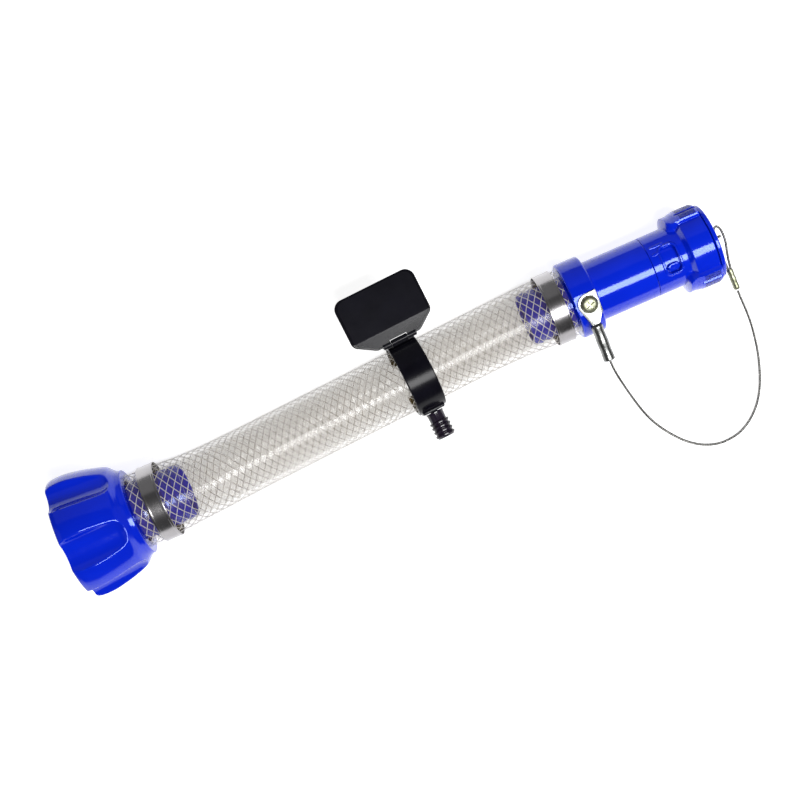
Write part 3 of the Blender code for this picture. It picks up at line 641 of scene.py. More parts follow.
def on_hose(station, turn, depth):
    """A point in the hose wall, depth under its skin. The turn is from up towards -Y."""
    centre, _, side, up = hose_frame(station)
    reach = hose_radius(station) - depth
    return centre + reach * (math.cos(turn) * up - math.sin(turn) * side)


def hose_wall(mat):
    columns, step = 112, 2.2 * MM
    count = round((HOSE_ENDS[1] - HOSE_ENDS[0]) / step)
    stations = [HOSE_ENDS[0] + (HOSE_ENDS[1] - HOSE_ENDS[0]) * k / count for k in range(count + 1)]
    lip = 0.5 * MM
    rows = [(s, lip if s in (stations[0], stations[-1]) else 0.0) for s in stations]
    rows += [(s, HOSE_WALL - d) for s, d in reversed(rows)]
    points = [on_hose(s, TAU * k / columns, d) for s, d in rows for k in range(columns)]
    faces = wrap_faces(len(rows), columns)
    mesh = mesh_of("hose_wall", np.array(points), faces)
    layer = mesh.uv_layers.new(name="braid")
    count = len(layer.data)
    loop_vertex = np.empty(count, np.int32)
    mesh.loops.foreach_get("vertex_index", loop_vertex)
    row, column = loop_vertex // columns, loop_vertex % columns
    first = np.repeat(column.reshape(-1, 4).max(axis=1) == columns - 1, 4)
    column = np.where(first & (column == 0), columns, column)
    along = np.array([s for s, _ in rows])[row] / YARN_TURN * YARNS
    around = column / columns * YARNS
    uv = np.stack([around + along, around - along], axis=-1).astype(np.float32)
    layer.data.foreach_set("uv", uv.reshape(-1))
    return add("hose_wall", mesh, mat, None)


def hose_yarn(mat):
    """Flat yarns that spiral both ways through the wall and pass over and under each other."""
    start, end = HOSE_ENDS[0] + 0.6 * MM, HOSE_ENDS[1] - 0.6 * MM
    count = round((end - start) / YARN_TURN * 40)
    parts = []
    for way in (1, -1):
        for k in range(YARNS):
            points = []
            for i in range(count + 1):
                station = start + (end - start) * i / count
                turn = TAU * (k / YARNS - way * station / YARN_TURN)
                wave = 0.22 * MM * way * math.cos(TAU * YARNS * station / YARN_TURN)
                depth = YARN_DEEP - wave
                place = on_hose(station, turn, depth)
                centre, along, _, _ = hose_frame(station)
                out = (place - centre).normalized()
                run = along * (YARN_TURN / TAU) + way * along.cross(out) * hose_radius(station)
                across = out.cross(run).normalized()
                w, h = across * YARN_HALF_WIDTH, out * YARN_HALF_THICK
                points += [place - w, place + h, place + w, place - h]
            parts.append((points, tube_faces(count + 1, 4)))
    return joined("hose_yarn", parts, mat, None)


# Inlet end


def scooped(station, radius, turn):
    """The nut's outer radius with the scoops cut in. The bore's rows, inside, carry the thread."""
    size = np.sqrt(np.clip(SCOOP_R ** 2 - np.clip(station - SCOOP_END, 0, None) ** 2, 0, None))
    reach = SCOOP_OUT + np.clip(SCOOP_END - station, 0, None) * math.tan(radians(SCOOP_TILT))
    pitch = TAU / SCOOPS
    angle = (turn - radians(SCOOP_TURN) + pitch / 2) % pitch - pitch / 2
    inside = size ** 2 - (reach * np.sin(angle)) ** 2
    floor = reach * np.cos(angle) - np.sqrt(np.clip(inside, 0, None))
    floor = np.where(inside > 0, floor, 60 * MM)
    cut_in = soft_min(radius, floor, 0.8 * MM)
    outer = np.where(radius > 32.5 * MM, cut_in, radius)
    phase = (station / THREAD_PITCH - turn / TAU) % 1.0
    ridge = np.clip(1.5 - np.abs(phase - 0.5) * 5.0, 0, 1)
    fade = step_up(station, 7.5 * MM, 3 * MM) * (1 - step_up(station, 26.0 * MM, 3.5 * MM))
    bore = radius - THREAD_DEPTH * ridge * fade
    threaded = (radius < NUT_BORE_R + 0.05 * MM) & (radius > NUT_BORE_R - 0.05 * MM)
    return np.where(threaded, bore, outer)


def inlet_nut(mat):
    outer = [(p.x * MM, p.y * MM) for p in curve_through(NUT_OUTLINE, 7)]
    neck = fillet([
        (outer[-1][0], outer[-1][1], 0.0), (NUT_END, 30.5 * MM, 0.8),
        (NUT_END, NUT_NECK_R, 0.4), (NUT_SHOULDER, NUT_NECK_R, 0.3),
        (NUT_SHOULDER, NUT_BORE_R, 0.0), (7.2 * MM, NUT_BORE_R, 0.0),
        (NUT_RIM, 34.6 * MM, 0.8), (NUT_RIM, 41.4 * MM, 0.0), (NUT_RIM + 0.3 * MM, 42.1 * MM, 0.0),
    ])
    outline = dense(outer + neck[1:], 0.8)
    return lathe("inlet_nut_body", outline, INLET, mat, 384, scooped, 50)


def barbed(tip, base, peak_tip, peak_base, count):
    """Barbs from the tip to the base, with the steep faces towards the base, ready for fillet."""
    pitch = (base - tip) / count
    points = []
    for k in range(count):
        peak = peak_tip + (peak_base - peak_tip) * k / max(count - 1, 1)
        start = tip + pitch * k
        points += [
            (start, peak - 1.3 * MM, 0.2), (start + 0.8 * pitch, peak, 0.4),
            (start + 0.9 * pitch, peak - 0.9 * MM, 0.3),
        ]
    return points


def inlet_tail(mat):
    back, front = NUT_SHOULDER - 0.4 * MM, NUT_SHOULDER - 5.2 * MM
    outline = fillet(barbed(89.2 * MM, 57.0 * MM, 20.0 * MM, 21.3 * MM, 4) + [
        (back, 20.4 * MM, 0.8), (back, 27.5 * MM, 0.5), (front, 27.5 * MM, 0.5),
        (front, 16.8 * MM, 0.6), (89.2 * MM, 16.8 * MM, 0.4),
    ])
    return lathe("inlet_tail_body", outline, INLET, mat, 96)


def gasket(mat):
    end = NUT_SHOULDER - 5.5 * MM
    outline = fillet([
        (end, 27.0 * MM, 0.4), (end - 3.0 * MM, 27.0 * MM, 0.4),
        (end - 3.0 * MM, 17.6 * MM, 0.4), (end, 17.6 * MM, 0.4),
    ])
    return lathe("gasket_ring", outline, INLET, mat, 96)


def band(name, ends, axis, mat):
    """A steel band with rolled edges and a crimped ear underneath."""
    inner = max(hose_radius(e) for e in ends) + 0.25 * MM
    thick = 0.8 * MM
    outline = fillet([
        (ends[0], inner, 0.25), (ends[0], inner + thick, 0.35),
        (ends[0] + 1.4 * MM, inner + thick, 0.3), (ends[0] + 1.7 * MM, inner + 0.62 * MM, 0.3),
        (ends[1] - 1.7 * MM, inner + 0.62 * MM, 0.3), (ends[1] - 1.4 * MM, inner + thick, 0.3),
        (ends[1], inner + thick, 0.35), (ends[1], inner, 0.25),
    ])

    def eared(station, radius, turn):
        near = np.abs(away(turn, 140.0))
        lift = 2.4 * MM * (1 - step_up(near, 0.10, 0.07))
        mid = 1 - step_up(np.abs(station - (ends[0] + ends[1]) / 2), 4.6 * MM, 1.4 * MM)
        return radius + lift * mid * (radius > inner + 0.3 * MM)

    return lathe(name, dense(outline, 1.0), axis, mat, 160, eared)


# Outlet end


def pad_cut(station, radius, turn):
    """The flat on the collar that the lanyard screw sits on."""
    angle = away(turn, PAD_TURN)
    flat = PAD_R / np.maximum(np.cos(angle), 0.2)
    on_collar = (station > COLLAR[0] - 1 * MM) & (station < COLLAR[1] + 1 * MM) & (radius > 24 * MM)
    return np.where(on_collar, soft_min(radius, flat, 0.25 * MM), radius)


def outlet_body(mat):
    outline = fillet(barbed(BODY_TIP, 378.0 * MM, 19.2 * MM, 19.8 * MM, 4) + [
        (COLLAR[0], 18.9 * MM, 0.5), (COLLAR[0], COLLAR_R, 1.6),
        (COLLAR[1], COLLAR_R, 1.6), (COLLAR[1], TUBE_R, 1.2),
        (TUBE_END, TUBE_R, 0.5), (TUBE_END, SPIGOT_R, 0.2),
        (464.3 * MM, SPIGOT_R, 0.2), (464.3 * MM, 17.2 * MM, 0.2),
        (466.7 * MM, 17.2 * MM, 0.2), (466.7 * MM, SPIGOT_R, 0.2),
        (SPIGOT_END, SPIGOT_R, 0.6), (SPIGOT_END, BODY_BORE_R, 0.5),
        (BODY_TIP, BODY_BORE_R, 0.4),
    ])
    body = lathe("outlet_body_moulding", dense(outline, 2.0), OUTLET, mat, 192, pad_cut)
    hole = rod("insert_hole", 4.1 * MM, (0, 0, 18.0 * MM), (0, 0, 40 * MM), pad_frame(), mat)
    return cut(body, hole)


def around_axis(axis, turn, station):
    """A frame with Z out of the axis at a turn in degrees, and X along +X."""
    place = Matrix.Translation((START_X + station, axis.y, axis.z))
    return place @ Matrix.Rotation(radians(turn), 4, "X")


def pad_frame():
    return around_axis(OUTLET, PAD_TURN, SCREW_AT)


def guide_lugs(mat):
    """The oblong lugs on the spigot, one in each window of the sleeve."""
    parts = []
    for side in (0, 180):
        matrix = around_axis(OUTLET, LUG_TURN + side, LUG_AT)
        reach = LUG_HALF_LENGTH - LUG_HALF_WIDTH
        ring = [(x + math.copysign(reach, x), y) for x, y in circle(LUG_HALF_WIDTH, 32)]
        rows = ((18.6, 1.0), (20.7, 1.0), (21.1, 0.95), (21.32, 0.86), (LUG_TOP, 0.70), (21.34, 0.35))
        points = [matrix @ Vector((x * s, y * s, z * MM)) for z, s in rows for x, y in ring]
        parts.append((points, tube_faces(len(rows), len(ring))))
    return joined("guide_lugs", parts, mat)


def window_distance(station, turn, side):
    """How far a point on the sleeve is from the window's rounded outline, negative inside."""
    middle = (WINDOW[0] + WINDOW[1]) / 2 + side
    half = radians(WINDOW[1] - WINDOW[0]) / 2 * TUBE_R
    arc = away(turn, middle) * TUBE_R
    corner = 3.4 * MM
    u = np.abs(arc) - (half - corner)
    v = np.abs(station - LUG_AT) - (WINDOW_HALF - corner)
    outside = np.hypot(np.maximum(u, 0), np.maximum(v, 0))
    return outside + np.minimum(np.maximum(u, v), 0) - corner


def sleeve_shape(station, radius, turn):
    """Grips, window lips and ribs raised on the sleeve's skin."""
    skin = radius > TUBE_R - 0.9 * MM
    grip = np.zeros_like(radius)
    for side in (90, -90):
        angle = np.abs(away(turn, side)) * GRIP_R
        half = radians(GRIP_HALF) * GRIP_R
        corner = 7.0 * MM
        u = angle - (half - corner)
        v = (GRIP_START + corner) - station
        edge = np.where(
            (u > 0) & (v > 0), np.hypot(u, v) - corner, np.maximum(u - corner, v - corner)
        )
        height = 1 - step_up(edge, -1.1 * MM, 1.3 * MM)
        groove = np.abs(np.abs(away(turn, side)) - radians(29.0)) * GRIP_R
        front = step_up(station, 470.0 * MM, 1.6 * MM)
        dip = 0.30 * front * (1 - step_up(groove, 0.5 * MM, 0.7 * MM))
        nose = 0.16 * (1 - front)
        grip = np.maximum(grip, height * (1 - dip - nose))
    top = GRIP_R - 0.5 * MM * step_up(station, SLEEVE[1] - 1.2 * MM, 1.2 * MM)
    full = radius + (top - radius) * grip
    lip = np.zeros_like(radius)
    for side in (0, 180):
        off = window_distance(station, turn, side)
        lip = np.maximum(lip, 1 - step_up(np.abs(off - 0.9 * MM), 0.35 * MM, 0.7 * MM))
        for rib in (-16.0, -30.0):
            near = np.abs(away(turn, rib + side)) * TUBE_R
            run = step_up(station, 444.0 * MM, 1.2 * MM) * (1 - step_up(station, 453.5 * MM, 1.2 * MM))
            lip = np.maximum(lip, run * (1 - step_up(near, 0.35 * MM, 0.6 * MM)))
    behind = station < 468 * MM
    full = np.where(behind, np.maximum(full, radius + 0.75 * MM * lip), full)
    return np.where(skin, full, radius)


def locking_sleeve(mat):
    outline = fillet([
        (SLEEVE[0], SLEEVE_BORE_R, 0.3), (SLEEVE[0], TUBE_R, 0.5),
        (466.6 * MM, TUBE_R, 1.0), (469.4 * MM, SLEEVE_HEAD_R, 1.2),
        (SLEEVE[1], SLEEVE_HEAD_R, 0.9), (SLEEVE[1], SLEEVE_MOUTH_R, 0.4),
        (SPIGOT_END + 2 * MM, SLEEVE_MOUTH_R, 0.3), (SPIGOT_END + 2 * MM, SLEEVE_BORE_R, 0.3),
    ])
    sleeve = lathe("locking_sleeve_moulding", dense(outline, 0.7), OUTLET, mat, 360, sleeve_shape)
    for side in (0, 180):
        cut(sleeve, window_cutter(side, mat))
    return reshaded(sleeve, 40)


def window_cutter(side, mat):
    """A prism of the window's rounded outline, bent round the axis."""
    middle = radians((WINDOW[0] + WINDOW[1]) / 2 + side)
    half = radians(WINDOW[1] - WINDOW[0]) / 2 * TUBE_R
    corner = 3.4
    flat = dense(fillet([
        (-WINDOW_HALF, -half, corner), (WINDOW_HALF, -half, corner),
        (WINDOW_HALF, half, corner), (-WINDOW_HALF, half, corner),
    ], 8), 1.0)
    count = len(flat)
    points, faces = [], []
    for radius in (17.5 * MM, 30.0 * MM):
        for along, arc in flat + [(0.0, 0.0)]:
            turn = middle + arc / TUBE_R
            points.append((
                START_X + LUG_AT + along,
                OUTLET.y - radius * math.sin(turn), OUTLET.z + radius * math.cos(turn),
            ))
    for k in range(count):
        n = (k + 1) % count
        faces.append((k, n, count + 1 + n, count + 1 + k))
        faces.append((count, n, k))
        faces.append((2 * count + 1, count + 1 + k, count + 1 + n))
    return joined("window_cutter", [(points, faces)], mat)


def dust_plug(mat):
    floor = PLUG_DISC[0] - 0.5 * MM
    outline = fillet([
        (456.0 * MM, 12.2 * MM, 0.3), (456.0 * MM, 14.5 * MM, 1.4),
        (460.7 * MM, 14.5 * MM, 0.2), (460.7 * MM, 13.4 * MM, 0.2),
        (463.3 * MM, 13.4 * MM, 0.2), (463.3 * MM, 14.5 * MM, 0.2),
        (PLUG_DISC[0], 14.5 * MM, 0.6), (PLUG_DISC[0], 27.1 * MM, 0.8),
        (PLUG_DISC[1], 27.1 * MM, 1.1), (PLUG_DISC[1], 24.0 * MM, 0.5),
        (PLUG_DISC[1] - 0.7 * MM, 23.2 * MM, 0.5), (PLUG_DISC[1] - 0.7 * MM, 8.0 * MM, 0.5),
        (PLUG_DISC[1], 7.2 * MM, 0.5), (PLUG_DISC[1], 2.2 * MM, 0.2),
        (floor, 2.2 * MM, 0.2), (floor, 12.2 * MM, 1.0),
    ])
    return lathe("dust_plug_moulding", dense(outline, 2.5), OUTLET, mat, 128)


def o_ring(name, station, radius, wire, mat):
    outline = [(station + y, radius + x) for x, y in circle(wire, 16)]
    return lathe(name, outline, OUTLET, mat, 128, None, None)


def plug_eye(mat):
    """A wire eye and the shank behind it."""
    matrix = around_axis(OUTLET, 0.0, 0.0)
    base = PLUG_DISC[1] + 0.3 * MM
    centre = Vector((base + 1.0 * MM + 3.2 * MM, 0, 0))
    loop = circle(3.2 * MM, 48)
    ring = [centre + Vector((x, 0, y)) for x, y in loop + loop[:1]]
    eye = joined("plug_eye_wire", [sweep(ring, lambda k: circle(0.98 * MM, 16), False)], mat, None)
    bm = bmesh.new()
    bm.from_mesh(eye.data)
    bmesh.ops.remove_doubles(bm, verts=bm.verts, dist=1e-6)
    bmesh.ops.recalc_face_normals(bm, faces=bm.faces)
    bmesh.ops.transform(bm, matrix=matrix, verts=bm.verts)
    bm.to_mesh(eye.data)
    bm.free()
    start, end = (480.3 * MM, 0, 0), (base + 1.0 * MM, 0, 0)
    return cut(eye, rod("eye_shank", 1.75 * MM, start, end, matrix, mat, 32, 0.2), "UNION")


# Lanyard


CABLE_ROUTE = (
    (139.7, -51.9, 43.6), (140.0, -57.5, 41.8), (141.1, -64.5, 38.0), (143.1, -71.5, 31.8),
    (145.5, -78.5, 23.6), (148.3, -86.0, 14.6), (151.5, -94.5, 6.8), (155.3, -103.5, 2.4),
    (159.8, -112.0, 1.1), (165.1, -119.8, 1.1), (171.5, -127.2, 1.1), (178.5, -133.0, 1.1),
    (186.0, -137.0, 1.1), (194.0, -139.2, 1.1), (202.0, -139.3, 1.1), (210.0, -137.8, 1.1),
    (217.5, -134.3, 1.1), (224.5, -129.1, 1.1), (231.0, -122.0, 1.1), (236.5, -113.0, 1.1),
    (240.9, -102.5, 1.6), (244.1, -91.0, 3.4), (245.8, -79.5, 6.5), (246.5, -68.0, 10.3),
    (246.1, -57.5, 14.0), (245.45, -50.0, 16.7), (245.15, -44.0, 18.45),
)
LOOP_ROUTE = (
    (244.3, -36.0, 20.9), (243.8, -28.5, 22.7), (243.4, -21.5, 24.1), (243.25, -15.0, 25.3),
    (243.2, -8.0, 26.7), (243.4, -1.5, 28.1), (244.3, 2.0, 28.9), (246.2, 3.4, 29.2),
    (248.0, 2.0, 28.9), (249.0, -1.5, 28.1), (249.1, -8.0, 26.7), (247.7, -15.0, 25.3),
    (246.4, -21.5, 24.1), (245.6, -28.5, 22.7), (245.2, -36.0, 20.9),
)
FERRULE = (Vector((245.1, -42.6, 18.9)) * MM, Vector((244.6, -27.7, 22.9)) * MM)
CABLE_R, LOOP_R, CABLE_LAY, STRANDS = 0.90 * MM, 0.88 * MM, 11.0 * MM, 6


def rope(name, line, radius, mat):
    """Strands laid round a core along a line."""
    parts = [sweep(line, lambda k: circle(radius * 0.36, 6))]
    travelled = distances(line)
    strand_r = radius * 0.335
    reach = radius - strand_r
    frames = frames_along(line)
    for s in range(STRANDS):
        path = []
        for (place, one, two), run in zip(frames, travelled):
            a = TAU * (s / STRANDS + run / CABLE_LAY)
            path.append(place + reach * (math.cos(a) * one + math.sin(a) * two))
        parts.append(sweep(path, lambda k: circle(strand_r, 6)))
    return joined(name, parts, mat, None)


def distances(line):
    """How far along the line each of its points is."""
    travelled = [0.0]
    for a, b in zip(line, line[1:]):
        travelled.append(travelled[-1] + (b - a).length)
    return travelled


def route_line(points, step):
    """Points on the smooth curve through a route in millimetres, step apart."""
    fine = curve_through([Vector(p) * MM for p in points], 16)
    travelled = distances(fine)
    count = round(travelled[-1] / step)
    at = np.linspace(0, travelled[-1], count + 1)
    columns = [np.interp(at, travelled, [p[k] for p in fine]) for k in range(3)]
    return [Vector(p) for p in zip(*columns)], travelled[-1]


def ferrule(mat):
    """A crimped sleeve with two pressed waists."""
    start, end = FERRULE
    line = [start.lerp(end, k / 24) for k in range(25)]

    def section(k):
        t = k / 24
        ends = min(1.0, 0.86 + 2.2 * min(t, 1 - t))
        waist = 1 - 0.06 * (math.exp(-((t - 0.33) / 0.09) ** 2) + math.exp(-((t - 0.67) / 0.09) ** 2))
        r = 2.35 * MM * ends * waist
        return [(u, v * 0.86) for u, v in circle(r, 32)]

    return joined("ferrule_crimp", [sweep(line, section)], mat)


def terminal(mat):
    """A sheet metal lug, teardrop in plan, rolled into a crimp barrel round the cable."""
    matrix = pad_frame()
    head = [
        (7.7 * MM * math.cos(a), 7.7 * MM * math.sin(a))
        for a in (radians(100 + 9 * k) for k in range(12))
    ]
    outline = [(7.5 * MM, -7.2 * MM), (7.5 * MM, 7.6 * MM), (6.9 * MM, 8.2 * MM)] + head
    foot = ((-3.2, -14.6), (-2.6, -17.5), (1.4, -17.5), (2.2, -15.2))
    outline += [(x * MM, y * MM) for x, y in foot]
    low = PAD_R + 0.3 * MM
    plate = prism("terminal_plate", outline, low, low + 1.15 * MM, matrix, mat)
    hole = rod("terminal_hole", 2.7 * MM, (0, 0, 20 * MM), (0, 0, 35 * MM), matrix, mat, 48)
    cut(plate, hole)
    x, height, r = -0.7 * MM, 28.2 * MM, 4.05 * MM
    start, end = -15.0 * MM, -41.5 * MM
    count = 40

    def section(k):
        t = k / count
        flare = 1.0 + 0.02 * math.cos(TAU * t * 2)
        crimp = 1 - 0.03 * math.exp(-((t - 0.30) / 0.10) ** 2) - 0.03 * math.exp(-((t - 0.68) / 0.10) ** 2)
        mouth = 1.0 if t > 0.04 else 0.90 + 2.5 * t
        ring = []
        for s in range(40):
            a = TAU * s / 40
            seam = 1 - 0.16 * math.exp(-(((a - 1.9) % TAU) / 0.16) ** 2)
            reach = r * flare * mouth * seam
            ring.append((reach * math.cos(a), reach * crimp * math.sin(a)))
        return ring

    line = [Vector((x, start + (end - start) * k / count, height)) for k in range(count + 1)]
    barrel = joined("terminal_barrel", [sweep(line, section)], mat)
    barrel.data.transform(matrix)
    bore_ends = (x, end + 6 * MM, height), (x, end - 5 * MM, height)
    cut(barrel, rod("barrel_bore", 1.3 * MM, *bore_ends, matrix, mat, 24))
    cut(plate, barrel, "UNION")
    return bevelled(plate, 0.25, 2, 50)


def pan_screw(mat):
    """A pan head with a cross recess, on its shank."""
    matrix = pad_frame()
    seat = PAD_R + 1.8 * MM
    profile = ((6.15, 0.0), (6.2, 0.5), (6.05, 1.2), (5.6, 1.9), (4.8, 2.45), (3.6, 2.85), (2.0, 3.05))
    columns = 64
    points = [matrix @ Vector((x, y, seat + z * MM)) for r, z in profile for x, y in circle(r * MM, columns)]
    head = joined("screw_head", [(points, tube_faces(len(profile), columns))], mat)
    for spin in (20.0, 110.0):
        turned = matrix @ Matrix.Rotation(radians(spin), 4, "Z")
        low, high = (-3.4 * MM, -0.62 * MM, seat + 1.3 * MM), (3.4 * MM, 0.62 * MM, seat + 6 * MM)
        cut(head, block("cross_arm", low, high, turned, mat))
    start, end = (0, 0, 19.7 * MM), (0, 0, seat + 0.5 * MM)
    cut(head, rod("screw_shank", 2.35 * MM, start, end, matrix, mat, 32, 0.3), "UNION")
    return bevelled(head, 0.12, 2, 50)


# Hose clip. Its frame has X along the hose, Z up and the plate on the +Y side.


def clip_frame():
    centre, along, side, up = hose_frame(CLIP_AT)
    turn = Matrix((along, side, up)).transposed().to_4x4()
    return Matrix.Translation(centre) @ turn


CLIP_BORE_R, CLIP_R, CLIP_HALF = 24.45 * MM, 26.95 * MM, 10.35 * MM
PIN_Y, PIN_Z, KNUCKLE_R = 26.4 * MM, 13.2 * MM, 2.15 * MM
KNUCKLE_SPLIT, KNUCKLE_END = 6.4 * MM, 12.55 * MM


def clip_ring(mat):
    """An open band with lips at its mouth, the stud's boss and a hinge knuckle."""
    matrix = clip_frame()
    mouth, count, corner = 0.50, 150, 0.9
    section = dense(fillet([
        (-CLIP_HALF, CLIP_BORE_R, 0.4), (CLIP_HALF, CLIP_BORE_R, 0.4),
        (CLIP_HALF, CLIP_R, corner), (-CLIP_HALF, CLIP_R, corner),
    ]), 3.0)
    points = []
    for k in range(count + 1):
        turn = math.pi + mouth + (TAU - 2 * mouth) * k / count
        end = min(k, count - k) / 6
        flare = 0.9 * MM * max(0.0, 1 - end) ** 2
        for x, r in section:
            reach = r + flare * (r > (CLIP_BORE_R + CLIP_R) / 2)
            points.append(matrix @ Vector((x, -reach * math.sin(turn), reach * math.cos(turn))))
    ring = joined("clip_band", [(points, tube_faces(count + 1, len(section)))], mat)
    low, high = Vector((-8.3, -28.3, -8.3)) * MM, Vector((8.3, -25.2, 8.3)) * MM
    cut(ring, block("clip_boss", low, high, matrix, mat, 1.2), "UNION")
    width = KNUCKLE_SPLIT - 0.35 * MM
    web = block("web", (-width, 21.9 * MM, 10.4 * MM), (width, 26.4 * MM, 13.1 * MM), matrix, mat)
    cut(ring, web, "UNION")
    ear = rod("ear", KNUCKLE_R, (-width, PIN_Y, PIN_Z), (width, PIN_Y, PIN_Z), matrix, mat, 40, 0.3)
    cut(ring, ear, "UNION")
    cut(ring, rod("bore", CLIP_BORE_R, (-20 * MM, 0, 0), (20 * MM, 0, 0), matrix, mat, 128))
    cut(ring, rod("pin_hole", 1.15 * MM, (-20 * MM, PIN_Y, PIN_Z), (20 * MM, PIN_Y, PIN_Z), matrix, mat, 32))
    cut(ring, rod("peg_hole", 3.25 * MM, (0, -40 * MM, 0), (0, -20 * MM, 0), matrix, mat, 40))
    return reshaded(ring, 35)


def clip_pin(mat):
    """A hinge pin with slightly domed ends."""
    ends = (-13.15 * MM, PIN_Y, PIN_Z), (13.15 * MM, PIN_Y, PIN_Z)
    return rod("clip_pin_rod", 1.05 * MM, *ends, clip_frame(), mat, 32, 0.3)


def barbed_stud(mat):
    """Four soft saw-tooth ribs on a shank, with a bore in the tip."""
    matrix = clip_frame() @ Matrix.Rotation(math.pi / 2, 4, "X")
    points = [(24.9, 0.05, 0.0), (24.9, 2.95, 0.3), (28.75, 2.95, 0.0), (28.75, 6.5, 0.3), (30.4, 6.0, 0.4)]
    points.append((35.3, 5.9, 0.3))
    for k in range(4):
        at = 35.7 + 3.15 * k
        points += [(at + 0.1, 7.2, 0.35), (at + 1.3, 7.1, 0.4), (at + 2.5, 5.9, 0.35)]
    points += [(47.9, 5.8, 0.5), (47.9, 3.3, 0.4), (31.2, 3.1, 0.2), (31.2, 0.05, 0.0)]
    outline = fillet([(s * MM, r * MM, c) for s, r, c in points])
    columns = 72
    made = [matrix @ Vector((x, y, s)) for s, r in outline for x, y in circle(r, columns)]
    mesh = mesh_of("barbed_stud_turning", np.array(made), wrap_faces(len(outline), columns))
    return add("barbed_stud_turning", mesh, mat)


def clip_plate(mat):
    """A house-shaped plate with a fine border, bent down towards its foot and two knuckles."""
    matrix = clip_frame()
    under, over, fold = 12.85 * MM, 15.75 * MM, 36.5 * MM
    corners = (
        (-31.4, 68.5, 7.0), (-31.4, 35.0, 5.5), (-16.7, 26.1, 3.0), (16.0, 26.1, 3.0),
        (29.1, 35.5, 5.5), (29.1, 68.5, 7.0),
    )
    outline = fillet([(x * MM, y * MM, c) for x, y, c in corners], 10)
    here = Matrix.Identity(4)
    plate = prism("clip_plate_moulding", outline, under, over, here, mat, 0.45)
    hub = Vector((-1.1, 48.5)) * MM
    rings = [[hub + (Vector(p) - hub) * grow for p in outline] for grow in (0.957, 0.935)]
    groove = prism("groove", rings[0], over - 0.16 * MM, over + 1 * MM, here, mat)
    cut(groove, prism("groove_inside", rings[1], over - 1 * MM, over + 2 * MM, here, mat))
    cut(plate, groove)
    bm = bmesh.new()
    bm.from_mesh(plate.data)
    for y in (fold + 0.7 * MM, fold, fold - 0.7 * MM):
        bmesh.ops.bisect_plane(
            bm, geom=bm.verts[:] + bm.edges[:] + bm.faces[:], plane_co=(0, y, 0), plane_no=(0, 1, 0)
        )
    for vert in bm.verts:
        past = fold + 0.35 * MM - vert.co.y
        if past > 0:
            vert.co.z -= 0.118 * past * min(1.0, past / (0.9 * MM))
    bm.to_mesh(plate.data)
    bm.free()
    ends = (-KNUCKLE_END, PIN_Y, PIN_Z), (KNUCKLE_END, PIN_Y, PIN_Z)
    cut(plate, rod("knuckle", KNUCKLE_R, *ends, here, mat, 40, 0.3), "UNION")
    notch_end = PIN_Y + KNUCKLE_R + 0.4 * MM
    notch = block("notch", (-KNUCKLE_SPLIT, 10 * MM, 5 * MM), (KNUCKLE_SPLIT, notch_end, 25 * MM), here, mat)
    cut(plate, notch)
    cut(plate, rod("pin_hole", 1.35 * MM, (-20 * MM, PIN_Y, PIN_Z), (20 * MM, PIN_Y, PIN_Z), here, mat, 32))
    plate.data.transform(matrix)
    return reshaded(plate, 30)


# Assembly


def place(obj, body, slot, *nodes):
    """The piece rides on a body and stands for CAD nodes, which it hides. The slot is not used."""
    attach(obj, body)
    if nodes:
        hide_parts(*nodes)
    return obj


def repaint(node, mat):
    obj = NODES[node]
    if not obj.material_slots:
        obj.data.materials.append(mat)
    for slot in obj.material_slots:
        slot.material = mat


studio()

BLUE = blue_plastic()
STEEL = metal(
    "rolled_steel", (30, 3), (0.28, 0.27, 0.28), (0.38, 0.37, 0.38),
    (70, 5, (60, 1, 1)), (0.12, 0.32), (70, 5, (60, 1, 1)), (0.00003, 0.4),
)
BRIGHT = metal(
    "bright_steel", (260, 4), (0.16, 0.165, 0.16), (0.26, 0.265, 0.26),
    (700, 3), (0.16, 0.36), (260, 4), (0.00006, 0.5),
)
ZINC = zinc_plate()
ROPE = metal("wire_rope", (600, 3), (0.10, 0.10, 0.095), (0.22, 0.215, 0.205), (600, 3), (0.25, 0.42))
BRASS = metal("brass", (400, 3), (0.62, 0.42, 0.15), (0.80, 0.60, 0.28), (400, 3), (0.22, 0.40))
BLACK = black_plastic()
GLOSS_BLACK = black_plastic("stud_black_plastic", 0.6, (0.0055, 0.0035, 0.0080))
RUBBER = rubber()

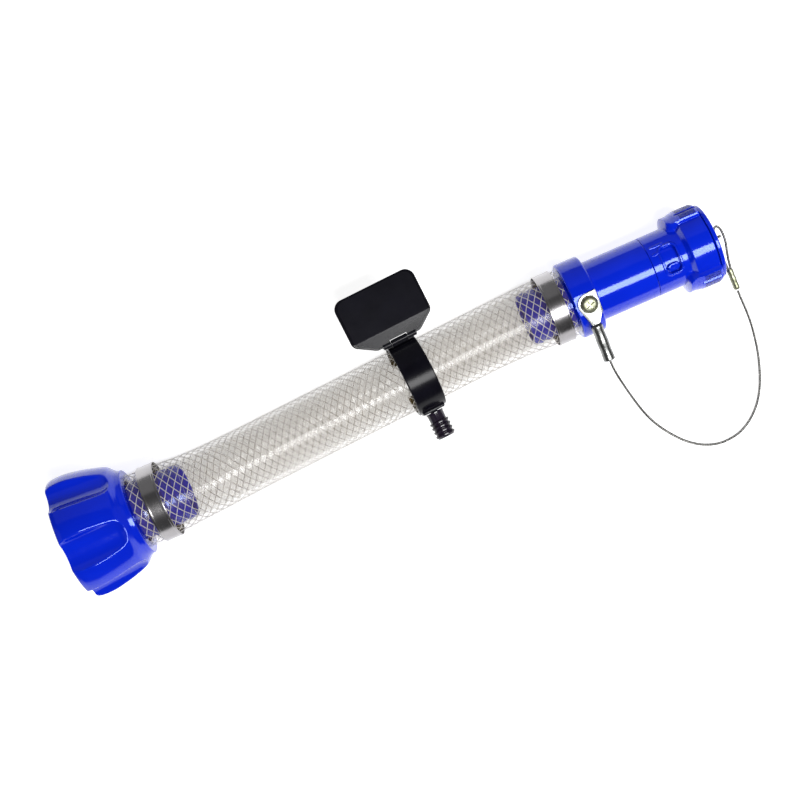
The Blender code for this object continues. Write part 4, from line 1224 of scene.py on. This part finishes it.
MAIN = "hose_assembly"
cable_line, cable_length = route_line(CABLE_ROUTE, 0.9 * MM)
cable = rope("lanyard_rope", cable_line, CABLE_R, ROPE)
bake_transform(cable)
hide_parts("lanyard_cable")
loop_line, _ = route_line(LOOP_ROUTE, 0.8 * MM)
end_loop = rope("lanyard_loop_rope", loop_line, LOOP_R, ROPE)
place(end_loop, "dust_plug", "wire_rope", "lanyard_end_loop")
crimp = place(ferrule(ZINC), "dust_plug", "zinc_plate", "lanyard_ferrule")

place(inlet_nut(BLUE), "inlet_nut", "blue_plastic", "inlet_nut")
place(inlet_tail(BLUE), MAIN, "blue_plastic", "inlet_hose_tail")
place(gasket(RUBBER), MAIN, "rubber", "inlet_gasket")
place(band("inlet_band", (62.6 * MM, 74.4 * MM), INLET, STEEL), MAIN, "stainless", "inlet_band_clamp")
place(hose_wall(clear_pvc()), MAIN, "clear_pvc", "hose")
place(hose_yarn(yarn()), MAIN, "clear_pvc", "hose")
place(band("outlet_band", (364.4 * MM, 376.6 * MM), OUTLET, STEEL), MAIN, "stainless", "outlet_band_clamp")
place(outlet_body(BLUE), MAIN, "blue_plastic", "outlet_body")
place(guide_lugs(BLUE), MAIN, "blue_plastic", "outlet_body")
place(locking_sleeve(BLUE), "locking_sleeve", "blue_plastic", "locking_sleeve")
place(dust_plug(BLUE), "dust_plug", "blue_plastic", "dust_plug")
place(o_ring("plug_seal", 462.0 * MM, 14.6 * MM, 0.6 * MM, RUBBER), "dust_plug", "rubber", "plug_o_ring")
place(o_ring("sleeve_seal", 465.5 * MM, 18.2 * MM, 0.68 * MM, RUBBER), MAIN, "rubber", "sleeve_o_ring")
place(plug_eye(BRIGHT), "dust_plug", "stainless", "plug_eye")
place(terminal(BRIGHT), MAIN, "stainless", "lanyard_terminal")
place(pan_screw(ZINC), MAIN, "zinc_plate", "lanyard_screw")
place(clip_ring(BLACK), "hose_clip", "black_plastic", "clip_ring")
place(clip_pin(BRIGHT), "hose_clip", "stainless", "clip_hinge_pin")
place(barbed_stud(GLOSS_BLACK), "hose_clip", "black_plastic", "barbed_stud")
place(clip_plate(BLACK), "clip_plate", "black_plastic", "clip_plate")
repaint("plug_eye_nut", BRIGHT)
repaint("screw_insert", BRASS)
